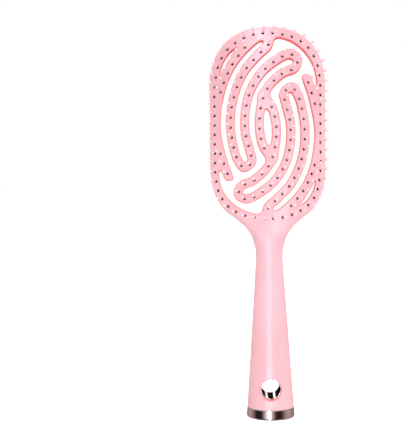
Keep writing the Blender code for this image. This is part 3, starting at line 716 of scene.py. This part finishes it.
def in_plastic(loops, step, clear):
    """Even grid of points inside an odd number of loops, some way clear of all of them."""
    everything = np.vstack(loops)
    xs = np.arange(everything[:, 0].min(), everything[:, 0].max(), step) + step / 3
    zs = np.arange(everything[:, 1].min(), everything[:, 1].max(), step) + step / 3
    px, pz = (grid.ravel() for grid in np.meshgrid(xs, zs))
    odd = np.zeros(px.shape, bool)
    gap = np.full(px.shape, FAR)
    for loop in loops:
        near = ((px > loop[:, 0].min() - step) & (px < loop[:, 0].max() + step)
                & (pz > loop[:, 1].min() - step) & (pz < loop[:, 1].max() + step))
        odd[near] ^= inside(px[near], pz[near], loop)
        gap[near] = np.minimum(gap[near], path_distance(px[near], pz[near], loop, closed=True))
    good = odd & (gap > clear)
    return np.column_stack([px[good], pz[good]])


def quarter_round(face, radius, backwards):
    """Rings of a rounded edge, from the wall to the face: a quarter circle of the given radius."""
    rings = []
    for angle in np.linspace(math.pi / 2, 0.0, ROUND_STEPS + 1):
        sunk = radius * (1 - math.cos(angle)) * backwards
        rings.append((radius * (1 - math.sin(angle)), lambda x, z, sunk=sunk: face(x, z) + sunk))
    return rings


# Rows of pins

def row(path, start=STRIP_OVERHANG, end=STRIP_OVERHANG, pitch=PIN_PITCH):
    """Distances along a path at about the pitch, from start to end short of its end."""
    total = lengths(path)[-1] - start - end
    return np.linspace(start, start + total, round(total / pitch) + 1)


def pin_rows():
    """Every strip as (name, path, places of its pins along that path)."""
    strips = []
    ribbon = spline(on_head(RIBBON))
    rim_row = on_head(RIM_ROW)
    rim = extended(spline(np.vstack([rim_row, -rim_row[:1]])), STRIP_OVERHANG)
    ribbon_end = lengths(spline(on_head(RIBBON[-2:])))[-1]
    ribbon_places = np.array_split(row(ribbon, RIBBON_ROW_START, ribbon_end), RIBBON_STRIPS)
    rim_places = np.array_split(row(rim, pitch=RIM_PITCH)[:-1], RIM_STRIPS)
    for side, turn in (("left", 1), ("right", -1)):
        for n, places in enumerate(ribbon_places):
            strips.append((f"pin_strip_{side}_rib_{n + 1}", ribbon * turn, places))
        for n, places in enumerate(rim_places):
            strips.append((f"pin_strip_{side}_rim_{n + 1}", rim * -turn, places))
        crescent = extended(spline(on_head(CRESCENT_ROW)), STRIP_OVERHANG) * turn
        strips.append((f"pin_strip_{side}_crescent", crescent, row(crescent)))
        tab = extended(spline(on_head(TAB_ROW)), STRIP_OVERHANG) * turn
        strips.append((f"pin_strip_{side}_tab", tab, row(tab)))
    return strips


def pin_holes(rows):
    """Centres of the pins' holes: each pin rests against the side of its hole away from the neck."""
    feet = np.vstack([along(path, places) for _, path, places in rows]) + [0.0, HEAD_CENTRE]
    away = feet - [0.0, JOINT]
    return feet - PIN_REST * away / np.linalg.norm(away, axis=1)[:, None]


def make_pin_strip(name, path, places, material):
    """Nylon bar behind the skin with its pins.

    The bar is a flat section carried along the row. A pin is a circle carried along a line that
    leans outwards with x: an even shank, then a ball whose radius follows a sine.
    """
    low = places[0] - STRIP_OVERHANG
    high = places[-1] + STRIP_OVERHANG
    stations = np.linspace(low, high, max(3, round((high - low) / PATH_STEP)))
    middle = along(path, stations) + [0.0, HEAD_CENTRE]
    side = normals(middle, closed=False) * STRIP_WIDTH / 2
    near = behind_front(SKIN + GAP)
    far = behind_front(SKIN + GAP + STRIP_THICKNESS)
    corners = []
    for edge, height in ((side, near), (-side, near), (-side, far), (side, far)):
        x, z = (middle + edge).T
        corners.append(np.column_stack([x, height(x, z), z]))
    patch = Patchwork()
    # The bar is dark maroon all over: painted shade where it shows in the pin holes
    patch.rings(np.stack(corners, axis=1), shade=PAINTED_SHADE)

    x, z = (along(path, places) + [0.0, HEAD_CENTRE]).T
    foot = np.column_stack([x, near(x, z), z])
    lean = np.radians(PIN_FAN) * x / HEAD_HALF_WIDTH
    zero = np.zeros_like(x)
    direction = np.column_stack([np.sin(lean), -np.cos(lean), zero])
    across = np.column_stack([np.cos(lean), np.sin(lean), zero])
    reach = PIN_LENGTH + SKIN + GAP
    ball = TIP_THICKNESS / 2
    angle = np.radians(BALL_ANGLES)
    distance = np.concatenate([SHANK_LEVELS, reach - ball + ball * np.cos(angle)])
    shank = np.full(len(SHANK_LEVELS), SHANK_RADIUS)
    radius = np.concatenate([shank, ball * np.sin(angle)])
    # Shades paint a shadow on each shank's foot and a pink rim on each ball, a painted reflection
    shade = np.concatenate([SHANK_SHADES, BALL_SHADES])
    turn = 2 * np.pi * (np.arange(PIN_SIDES) + 0.5) / PIN_SIDES
    rim = (across[:, None, None] * np.cos(turn)[:, None]
           + np.array([0.0, 0.0, 1.0]) * np.sin(turn)[:, None])
    grid = (foot[:, None, None] + direction[:, None, None] * distance[:, None, None]
            + rim * radius[:, None, None])
    for rings in grid:
        patch.rings(rings, shade=np.repeat(shade, PIN_SIDES))
    return patch.finish(name, material, "nylon", name)


# Head shells

def joint_row():
    """x of the points across the joint, from the left corner to the right one."""
    return half_width(JOINT) * np.sin(np.linspace(-math.pi / 2, math.pi / 2, HALF_SECTION))


def ring_round(centre, radius, sides=HOLE_SIDES):
    """Circle in the plan."""
    turn = 2 * np.pi * (np.arange(sides) + 0.5) / sides
    return centre + radius * np.column_stack([np.cos(turn), np.sin(turn)])


def shell_edges(slots, edge_round):
    """Outline and slots as (loop, way into the plastic, round, chamfer, share of shade, closed).

    The outline's round and chamfer fade out towards the joint, where the shell meets the neck.
    """
    edge = head_outline(EDGE_STEP)
    fade = smooth((edge[:, 1] - JOINT) / ROUND_START)
    inward = normals(edge, closed=False)
    centre = np.array([0.0, HEAD_CENTRE])
    if np.sum(inward * (centre - edge)) < 0:
        inward = -inward
    # The outline's wall gets a share of the walls' painted shade, fading out towards the joint
    share = OUTER_SHADE * smooth((edge[:, 1] - JOINT) / OUTER_RUN)
    edges = [(edge, inward, edge_round * fade, CHAMFER * fade, share, False)]
    for slot in slots:
        into = normals(slot) * -np.sign(area(slot))
        full = np.ones(len(slot))
        edges.append((slot, into, FACE_ROUND * full, CHAMFER * full, full, True))
    return edges


def add_cavity(patch, cavity, centres, mouths, face, parting):
    """Walls and floor of the cavity behind the skin, and the pins' holes from the floor to the face."""
    floor = behind_front(SKIN)
    feet = [ring_round(centre, PIN_HOLE / 2) for centre in centres]
    loops = cavity + feet
    patch.sheet(loops, floor, in_plastic(loops, FLOOR_STEP, FLOOR_CLEAR))
    for loop in cavity:
        patch.band(loop, np.zeros_like(loop), [(0.0, parting), (0.0, floor)])
    across, down = HOLE_ROUND_MIDDLE
    profile = [
        (0.0, face), (HOLE_ROUND * across, lambda x, z: face(x, z) + HOLE_ROUND * down),
        (HOLE_ROUND, lambda x, z: face(x, z) + HOLE_ROUND), (HOLE_ROUND, floor),
    ]
    # The holes are dark maroon from partway down their rounded mouths: painted shade in the holes
    shades = np.repeat([0.0, PAINTED_SHADE, PAINTED_SHADE, PAINTED_SHADE], HOLE_SIDES)
    for mouth, foot in zip(mouths, feet):
        patch.band(mouth, (foot - mouth) / HOLE_ROUND, profile, shades)


def add_tongue(patch, face, parting, side):
    """Half of the tongue: a slab from the parting plane outwards, clear of the handle's wall."""
    inset = HANDLE_WALL + TONGUE_GAP
    rings = []
    for level in np.linspace(JOINT + TONGUE_RISE, JOINT - TONGUE_DROP, TONGUE_LEVELS):
        x = (half_width(level) - TONGUE_SIDE) * np.linspace(-1.0, 1.0, TONGUE_COLUMNS)
        z = np.full_like(x, level)
        outer = np.column_stack([x, face(x, z) - side * inset, z])
        inner = np.column_stack([x, parting(x, z) + side * SEAM, z])
        rings.append(np.vstack([outer, inner[::-1]]))
    patch.rings(rings)


def make_head_shell(name, slots, face, parting, side, edge_round, material, cavity=(), holes=()):
    """One shell of the head: a face with rounded edges, walls down to the parting plane, a tongue.

    side is -1 for the front shell and 1 for the back one. The edge band is a quarter circle and a
    straight wall with a small chamfer, carried round the outline and round every slot.
    """
    patch = Patchwork()
    bridge = np.column_stack([joint_row()[1:-1], np.full(HALF_SECTION - 2, JOINT)])
    openings = []
    undersides = []
    for loop, into, round_off, chamfer, share, closed in shell_edges(slots, edge_round):
        profile = [
            (chamfer, parting),
            (0.0, lambda x, z, c=chamfer: parting(x, z) + side * c),
        ] + quarter_round(face, round_off, -side)
        # Walls are painted salmon, as shade and bounce light in the slots, on over the start of the
        # round
        fading = smooth(np.linspace(WALL_SHADE_START, 0.0, len(profile) - 2))
        shades = np.outer(np.concatenate([[1.0, 1.0], fading]), share)
        patch.band(loop, into, profile, shades.ravel(), closed)
        top = loop + into * round_off[:, None]
        bottom = loop + into * chamfer[:, None]
        openings.append(top if closed else np.vstack([top, bridge]))
        undersides.append(bottom if closed else np.vstack([bottom, bridge]))
    mouths = [ring_round(centre, PIN_HOLE / 2 + HOLE_ROUND) for centre in holes]
    loops = openings + mouths
    patch.sheet(loops, face, in_plastic(loops, FILL_STEP, FACE_CLEAR))
    if cavity:
        patch.sheet(undersides + cavity, parting)
        add_cavity(patch, cavity, holes, mouths, face, parting)
    else:
        patch.sheet(undersides, parting, in_plastic(undersides, BACK_STEP, FILL_STEP))
    x = joint_row()
    z = np.full_like(x, JOINT)
    rings = [np.column_stack([x, height(x, z), z]) for height in (face, parting)]
    patch.rings(rings, around=False, capped=False)
    add_tongue(patch, face, parting, side)
    return patch.finish(name, material, "pink_plastic", name)


# Handle, liner and cap

def section(z, inset=0.0, level=None):
    """Ring of the neck's or handle's section at z, front row then back row, at the height level."""
    x = (half_width(z) - inset) * np.sin(np.linspace(-math.pi / 2, math.pi / 2, HALF_SECTION))
    height = np.full_like(x, z)
    shown = np.full_like(x, z if level is None else level)
    face = np.column_stack([x, front(x, height, inset), shown])
    rear = np.column_stack([x, back(x, height, inset), shown])
    return np.vstack([face, rear[::-1]])


def hole_circle(radius):
    """Circle about the hanging hole's axis, as (x, z)."""
    return ring_round(np.array([0.0, HOLE_LEVEL]), radius, ROUND_SIDES)


def wrapped(points, inset=0.0):
    """Plan points of the handle turned into (length round the section, z), so that sides stay even."""
    x, z = points.T
    share = np.clip(x / (half_width(z) - inset), -1.0, 1.0)
    return np.column_stack([HANDLE_HALF_WIDTH * np.arcsin(share), z])


def skin(patch, levels, surface, inset, opening):
    """Front or back skin of the handle round the hole: x = wide sin(turn), y = surface(x, z)."""
    turns = HANDLE_HALF_WIDTH * np.linspace(-math.pi / 2, math.pi / 2, HALF_SECTION)
    bottom = np.column_stack([turns, np.full_like(turns, levels[0])])
    top = np.column_stack([turns, np.full_like(turns, levels[-1])])[::-1]
    right = np.column_stack([np.full_like(levels, turns[-1]), levels])[1:-1]
    left = np.column_stack([np.full_like(levels, turns[0]), levels])[::-1][1:-1]
    outline = np.vstack([bottom, right, top, left])
    hole = wrapped(opening, inset)
    u, z = (grid.ravel() for grid in np.meshgrid(turns[1:-1], levels[1:-1]))
    reach = np.hypot(half_width(z) * np.sin(u / HANDLE_HALF_WIDTH), z - HOLE_LEVEL)
    radius = np.hypot(*(opening[0] - [0.0, HOLE_LEVEL]))
    fill = np.column_stack([u, z])[reach > radius + HOLE_CLEAR]
    flat = Patchwork()
    flat.sheet([outline, hole], lambda x, z: 0.0 * x, fill)
    turn, _, z = flat.points[0].T
    wide = half_width(z) - inset
    x = wide * np.sin(turn / HANDLE_HALF_WIDTH)
    x = np.where(np.abs(turn) > turns[-1] - NEAR, np.sign(turn) * wide, x)
    patch.add(np.column_stack([x, surface(x, z, inset), z]), flat.faces)
    for side in (-1, 1):
        x = side * (half_width(levels) - inset)
        rows = [np.column_stack([x, height(x, levels, inset), levels]) for height in (front, back)]
        patch.rings(rows, around=False, capped=False)


def make_handle(material):
    """Hollow handle: oval sections from the joint to the cap, with a bore whose mouths are rounded."""
    patch = Patchwork()
    bottom = CAP_HEIGHT + GAP
    neck = JOINT - NECK_RUN
    levels = np.concatenate([
        np.linspace(bottom, neck, round((neck - bottom) / LEVEL_STEP)),
        np.linspace(neck, JOINT, NECK_LEVELS)[1:],
    ])
    radius = LINER_BORE / 2 + LINER_WALL + SEAM
    boss = radius + BOSS_WALL
    for surface, outward in ((front, 1), (back, -1)):
        opening = hole_circle(radius + MOUTH_ROUND)
        skin(patch, levels, surface, 0.0, opening)
        toward = (hole_circle(radius) - opening) / MOUTH_ROUND
        profile = []
        for angle in np.linspace(0.0, math.pi / 2, MOUTH_RINGS):
            sunk = outward * MOUTH_ROUND * (1 - math.cos(angle))
            profile.append((MOUTH_ROUND * math.sin(angle), lambda x, z, s=sunk: surface(x, z) + s))
        # The mouth's round and the bore are painted salmon: painted shade and bounce light in the hole
        shades = np.repeat(np.linspace(0.0, 1.0, MOUTH_RINGS), ROUND_SIDES)
        patch.band(opening, toward, profile, shades)
        skin(patch, levels, surface, HANDLE_WALL, hole_circle(boss))
    wall = hole_circle(radius)
    patch.band(wall, np.zeros_like(wall), [
        (0.0, lambda x, z: front(x, z) + MOUTH_ROUND), (0.0, lambda x, z: back(x, z) - MOUTH_ROUND),
    ], 1.0)
    wall = hole_circle(boss)
    patch.band(wall, np.zeros_like(wall), [
        (0.0, lambda x, z: front(x, z, HANDLE_WALL)), (0.0, lambda x, z: back(x, z, HANDLE_WALL)),
    ])
    # Both end faces turn dark maroon inside their edge: painted shade in the seam over the cap
    shades = np.repeat([0.0, PAINTED_SHADE, PAINTED_SHADE], 2 * HALF_SECTION)
    for level in (levels[0], levels[-1]):
        rings = [section(level, inset) for inset in (0.0, END_EDGE, HANDLE_WALL)]
        patch.rings(rings, shade=shades, capped=False)
    return patch.finish("handle_shell", material, "pink_plastic", "handle_shell")


def make_liner(material):
    """Metal tube of the hanging hole: a wall with rounded lips, turned about the hole's axis."""
    reach = float(oval_depth(HOLE_LEVEL)) - LINER_RECESS
    lip = LINER_LIP
    middle = LINER_BORE / 2 + LINER_WALL - lip
    turn = np.linspace(0.0, math.pi, LIP_POINTS)
    straight = np.array([2 * lip, 0.0, -2 * lip]) + [-reach, 0.0, reach]
    side = np.full_like(straight, lip)
    radius = middle + np.concatenate([-lip * np.cos(turn), side, lip * np.cos(turn), -side])
    depth = np.concatenate([-reach + lip - lip * np.sin(turn), straight,
                            reach - lip + lip * np.sin(turn), -straight])
    radius = np.append(radius, radius[0])
    depth = np.append(depth, depth[0])
    circle = hole_circle(1.0) - [0.0, HOLE_LEVEL]
    rings = np.stack([
        radius[:, None] * circle[:, 0], np.repeat(depth[:, None], ROUND_SIDES, axis=1),
        HOLE_LEVEL + radius[:, None] * circle[:, 1],
    ], axis=2)
    patch = Patchwork()
    patch.rings(rings, capped=False)
    return patch.finish("hanging_hole_liner", material, "chrome", "hanging_hole_liner")


def make_cap(material):
    """Metal cap: a cup with a quarter round at the bottom, a tiny chamfer, and a hollow plug above."""
    top = CAP_HEIGHT
    plug_top = top + GAP + PLUG_HEIGHT
    plug = HANDLE_WALL + GAP
    core = plug + PLUG_WALL
    angles = np.linspace(0.0, math.pi / 2, CAP_ROUND_RINGS)
    rings = [section(0.0, CAP_EDGE * (1 - math.sin(a)), CAP_EDGE * (1 - math.cos(a))) for a in angles]
    rings += [section(level) for level in np.linspace(CAP_EDGE, top - CAP_LIP, CAP_SIDE_RINGS)[1:]]
    rings += [section(top, CAP_LIP), section(top, plug), section(top, plug, plug_top),
              section(top, core, plug_top), section(top, core, CAP_FLOOR)]
    patch = Patchwork()
    patch.rings(rings)
    return patch.finish("end_cap", material, "chrome", "end_cap")


# Materials

def new_material(name):
    """New material, with its node tree and its Principled shader."""
    material = bpy.data.materials.new(name)
    material.use_nodes = True
    return material, material.node_tree, material.node_tree.nodes["Principled BSDF"]


def noise(tree, scale, detail=NOISE_DETAIL):
    """Noise in the object's own coordinates."""
    place = tree.nodes.new("ShaderNodeTexCoord")
    texture = tree.nodes.new("ShaderNodeTexNoise")
    texture.inputs["Scale"].default_value = scale
    texture.inputs["Detail"].default_value = detail
    tree.links.new(place.outputs["Object"], texture.inputs["Vector"])
    return texture.outputs["Fac"]


def spread(tree, value, from_low, from_high, to_low=0.0, to_high=1.0):
    """Value moved linearly from one span to another, held at the ends."""
    span = tree.nodes.new("ShaderNodeMapRange")
    for name, number in (("From Min", from_low), ("From Max", from_high),
                         ("To Min", to_low), ("To Max", to_high)):
        span.inputs[name].default_value = number
    tree.links.new(value, span.inputs["Value"])
    return span.outputs["Result"]


def blend(tree, share, a, b):
    """Mix of two colours, each a value or another node's output."""
    mix = tree.nodes.new("ShaderNodeMix")
    mix.data_type = "RGBA"
    tree.links.new(share, mix.inputs["Factor"])
    for name, colour in (("A", a), ("B", b)):
        if isinstance(colour, tuple):
            mix.inputs[name].default_value = (*colour, 1.0)
        else:
            tree.links.new(colour, mix.inputs[name])
    return mix.outputs["Result"]


def shade_of(tree):
    """The mesh's painted light and shade: 1 on slot walls and pin tips, negative down in pin holes."""
    attribute = tree.nodes.new("ShaderNodeAttribute")
    attribute.attribute_name = "shade"
    return attribute.outputs["Fac"]


def fine_skin(tree, shader, scale, strength):
    """Very fine unevenness of a moulded or plated skin."""
    bump = tree.nodes.new("ShaderNodeBump")
    bump.inputs["Strength"].default_value = strength
    bump.inputs["Distance"].default_value = GRAIN_DEPTH * MM
    tree.links.new(noise(tree, scale, GRAIN_DETAIL), bump.inputs["Height"])
    tree.links.new(bump.outputs["Normal"], shader.inputs["Normal"])


def moulded(name, drift, plain, warm, painted_light_tone, rough_scale, rough, gloss, grain):
    """Moulded plastic that drifts between two tones, with painted light and maroon painted shade."""
    material, tree, shader = new_material(name)
    shade = shade_of(tree)
    base = blend(tree, spread(tree, noise(tree, drift), *NOISE_SPAN), plain, warm)
    toned = blend(tree, spread(tree, shade, 0.0, 1.0), base, painted_light_tone)
    colour = blend(tree, spread(tree, shade, 0.0, PAINTED_SHADE), toned, PAINTED_SHADE_MAROON)
    tree.links.new(colour, shader.inputs["Base Color"])
    roughness = spread(tree, noise(tree, rough_scale), *NOISE_SPAN, *rough)
    tree.links.new(roughness, shader.inputs["Roughness"])
    # Gloss fades out where shade is painted, so that the painted shade stays dark
    specular = spread(tree, shade, PAINTED_SHADE / 2, 0.0, 0.0, gloss)
    tree.links.new(specular, shader.inputs["Specular IOR Level"])
    fine_skin(tree, shader, *grain)
    return material, shader


def pink_plastic():
    """Satin pink plastic into which light soaks a little; its salmon cut walls are painted shade and
    bounce light.
    """
    material, shader = moulded("satin pink plastic", **PINK_LOOK)
    shader.inputs["Subsurface Weight"].default_value = SOAK_SHARE
    shader.inputs["Subsurface Radius"].default_value = SOAK_RADIUS
    shader.inputs["Subsurface Scale"].default_value = SOAK_DEPTH * MM
    return material


def nylon():
    """Pale nylon whose balls at the tips have a pink rim, a painted reflection of the pink head."""
    return moulded("pale nylon", **NYLON_LOOK)[0]


def chrome():
    """Polished plating with faint smudges in its tone and roughness."""
    material, tree, shader = new_material("chrome plating")
    shader.inputs["Metallic"].default_value = 1.0
    smudge = noise(tree, SMUDGE_SCALE, SMUDGE_DETAIL)
    colour = blend(tree, spread(tree, smudge, *SMUDGE_TONE_SPAN), CHROME_CLEAN, CHROME_DULL)
    tree.links.new(colour, shader.inputs["Base Color"])
    roughness = spread(tree, smudge, *SMUDGE_ROUGH_SPAN, *CHROME_ROUGH)
    tree.links.new(roughness, shader.inputs["Roughness"])
    fine_skin(tree, shader, *CHROME_GRAIN)
    return material


def floor_white():
    """Pale floor: shows white to the camera and keeps a faint shadow of the brush."""
    material, tree, shader = new_material("pale floor")
    speckle = spread(tree, noise(tree, FLOOR_SPECKLE), *NOISE_SPAN)
    tree.links.new(blend(tree, speckle, FLOOR_PALE, FLOOR_PALER), shader.inputs["Base Color"])
    shader.inputs["Roughness"].default_value = FLOOR_ROUGH
    shader.inputs["Emission Color"].default_value = (*WHITE, 1.0)
    path = tree.nodes.new("ShaderNodeLightPath")
    glow = spread(tree, path.outputs["Is Camera Ray"], 0.0, 1.0, 0.0, FLOOR_GLOW)
    tree.links.new(glow, shader.inputs["Emission Strength"])
    return material


# Studio

def card_ramp(tree, share, cards):
    """Ramp of what gloss sees round the brush, as cards of some colour between two turns."""
    ramp = tree.nodes.new("ShaderNodeValToRGB")
    stops = ramp.color_ramp.elements
    for position, (angle, colour) in enumerate(cards):
        where = (angle + 180.0) / 360.0
        stop = stops[position] if position < 2 else stops.new(where)
        stop.position = where
        stop.color = (*colour, 1.0)
    tree.links.new(share, ramp.inputs["Fac"])
    return ramp.outputs["Color"]


def make_world():
    """White room: plain light on the brush, and a strip light between dark cards in its gloss.

    What gloss sees depends on the direction's turn about the vertical, measured from the camera's
    side, through a ramp of colours. One ramp holds below the horizon and one above it.
    """
    world = bpy.data.worlds.new("studio")
    bpy.context.scene.world = world
    world.use_nodes = True
    tree = world.node_tree
    background = tree.nodes["Background"]
    place = tree.nodes.new("ShaderNodeTexCoord")
    split = tree.nodes.new("ShaderNodeSeparateXYZ")
    tree.links.new(place.outputs["Generated"], split.inputs["Vector"])
    flip = tree.nodes.new("ShaderNodeMath")
    flip.operation = "MULTIPLY"
    flip.inputs[1].default_value = -1.0
    tree.links.new(split.outputs["Y"], flip.inputs[0])
    turn = tree.nodes.new("ShaderNodeMath")
    turn.operation = "ARCTAN2"
    tree.links.new(split.outputs["X"], turn.inputs[0])
    tree.links.new(flip.outputs["Value"], turn.inputs[1])
    offset = math.radians(CAMERA_AZIMUTH)
    share = spread(tree, turn.outputs["Value"], offset - math.pi, offset + math.pi)
    low = card_ramp(tree, share, LOW_CARDS)
    high = card_ramp(tree, share, HIGH_CARDS)
    cards = blend(tree, spread(tree, split.outputs["Z"], *STRIP_EDGE), low, high)
    path = tree.nodes.new("ShaderNodeLightPath")
    plain = blend(tree, path.outputs["Is Glossy Ray"], (ROOM_LIGHT,) * 3, cards)
    seen = blend(tree, path.outputs["Is Camera Ray"], plain, WHITE)
    tree.links.new(seen, background.inputs["Color"])


def add_lamp(name, place, size, power, target):
    """Rectangular soft lamp that faces a point."""
    lamp = bpy.data.lights.new(name, "AREA")
    lamp.shape = "RECTANGLE"
    lamp.size, lamp.size_y = size
    lamp.energy = power
    obj = bpy.data.objects.new(name, lamp)
    bpy.context.scene.collection.objects.link(obj)
    place = Vector(place)
    turn = (Vector(target) - place).to_track_quat("-Z", "Y").to_matrix().to_4x4()
    obj.matrix_world = Matrix.Translation(place) @ turn
    return obj


def place_camera():
    """Camera of the photograph, taken as upright with a small roll and yaw."""
    camera = bpy.data.cameras.new("camera")
    camera.sensor_fit = "VERTICAL"
    camera.sensor_height = SENSOR
    camera.lens = FOCAL_PIXELS * SENSOR / PICTURE_HEIGHT
    obj = bpy.data.objects.new("camera", camera)
    bpy.context.scene.collection.objects.link(obj)
    a = math.radians(CAMERA_AZIMUTH)
    place = Vector((math.sin(a), -math.cos(a), 0.0)) * CAMERA_DISTANCE
    place.z = CAMERA_HEIGHT
    forward = Vector((-math.sin(a), math.cos(a), 0.0))
    forward.rotate(Matrix.Rotation(math.radians(CAMERA_YAW), 3, "Z"))
    turn = forward.to_track_quat("-Z", "Y").to_matrix().to_4x4()
    roll = Matrix.Rotation(math.radians(CAMERA_ROLL), 4, "Z")
    obj.matrix_world = Matrix.Translation(place) @ turn @ roll
    bpy.context.scene.camera = obj


def make_studio():
    """Floor, room light and one soft lamp in front."""
    mesh = bpy.data.meshes.new("floor")
    reach = FLOOR_REACH
    mesh.from_pydata([(-reach, -reach, 0), (reach, -reach, 0), (reach, reach, 0), (-reach, reach, 0)],
                     [], [(0, 1, 2, 3)])
    mesh.materials.append(floor_white())
    floor = bpy.data.objects.new("floor", mesh)
    floor.location.z = -FLOOR_DROP * MM
    bpy.context.scene.collection.objects.link(floor)
    floor.visible_glossy = False
    make_world()
    target = (0.0, 0.0, HEAD_CENTRE * MM * KEY_AIM)
    key = add_lamp("key lamp", KEY_PLACE, KEY_SIZE, KEY_POWER, target)


def make_brush():
    """Every piece of the brush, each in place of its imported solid."""
    pink = pink_plastic()
    pale = nylon()
    metal = chrome()
    slots, cavity = plan()
    rows = pin_rows()
    holes = pin_holes(rows)
    depth = SKIN + GAP + STRIP_THICKNESS
    make_head_shell(
        "head_front", slots, front, behind_front(depth), -1, FACE_ROUND, pink, cavity, holes)
    make_head_shell("head_back", slots, back, behind_front(depth + SEAM), 1, BACK_ROUND, pink)
    for name, path, places in rows:
        make_pin_strip(name, path, places, pale)
    make_handle(pink)
    make_liner(metal)
    make_cap(metal)


def main():
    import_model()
    make_brush()
    make_studio()
    place_camera()
    bpy.context.scene.view_settings.view_transform = "Standard"


main()
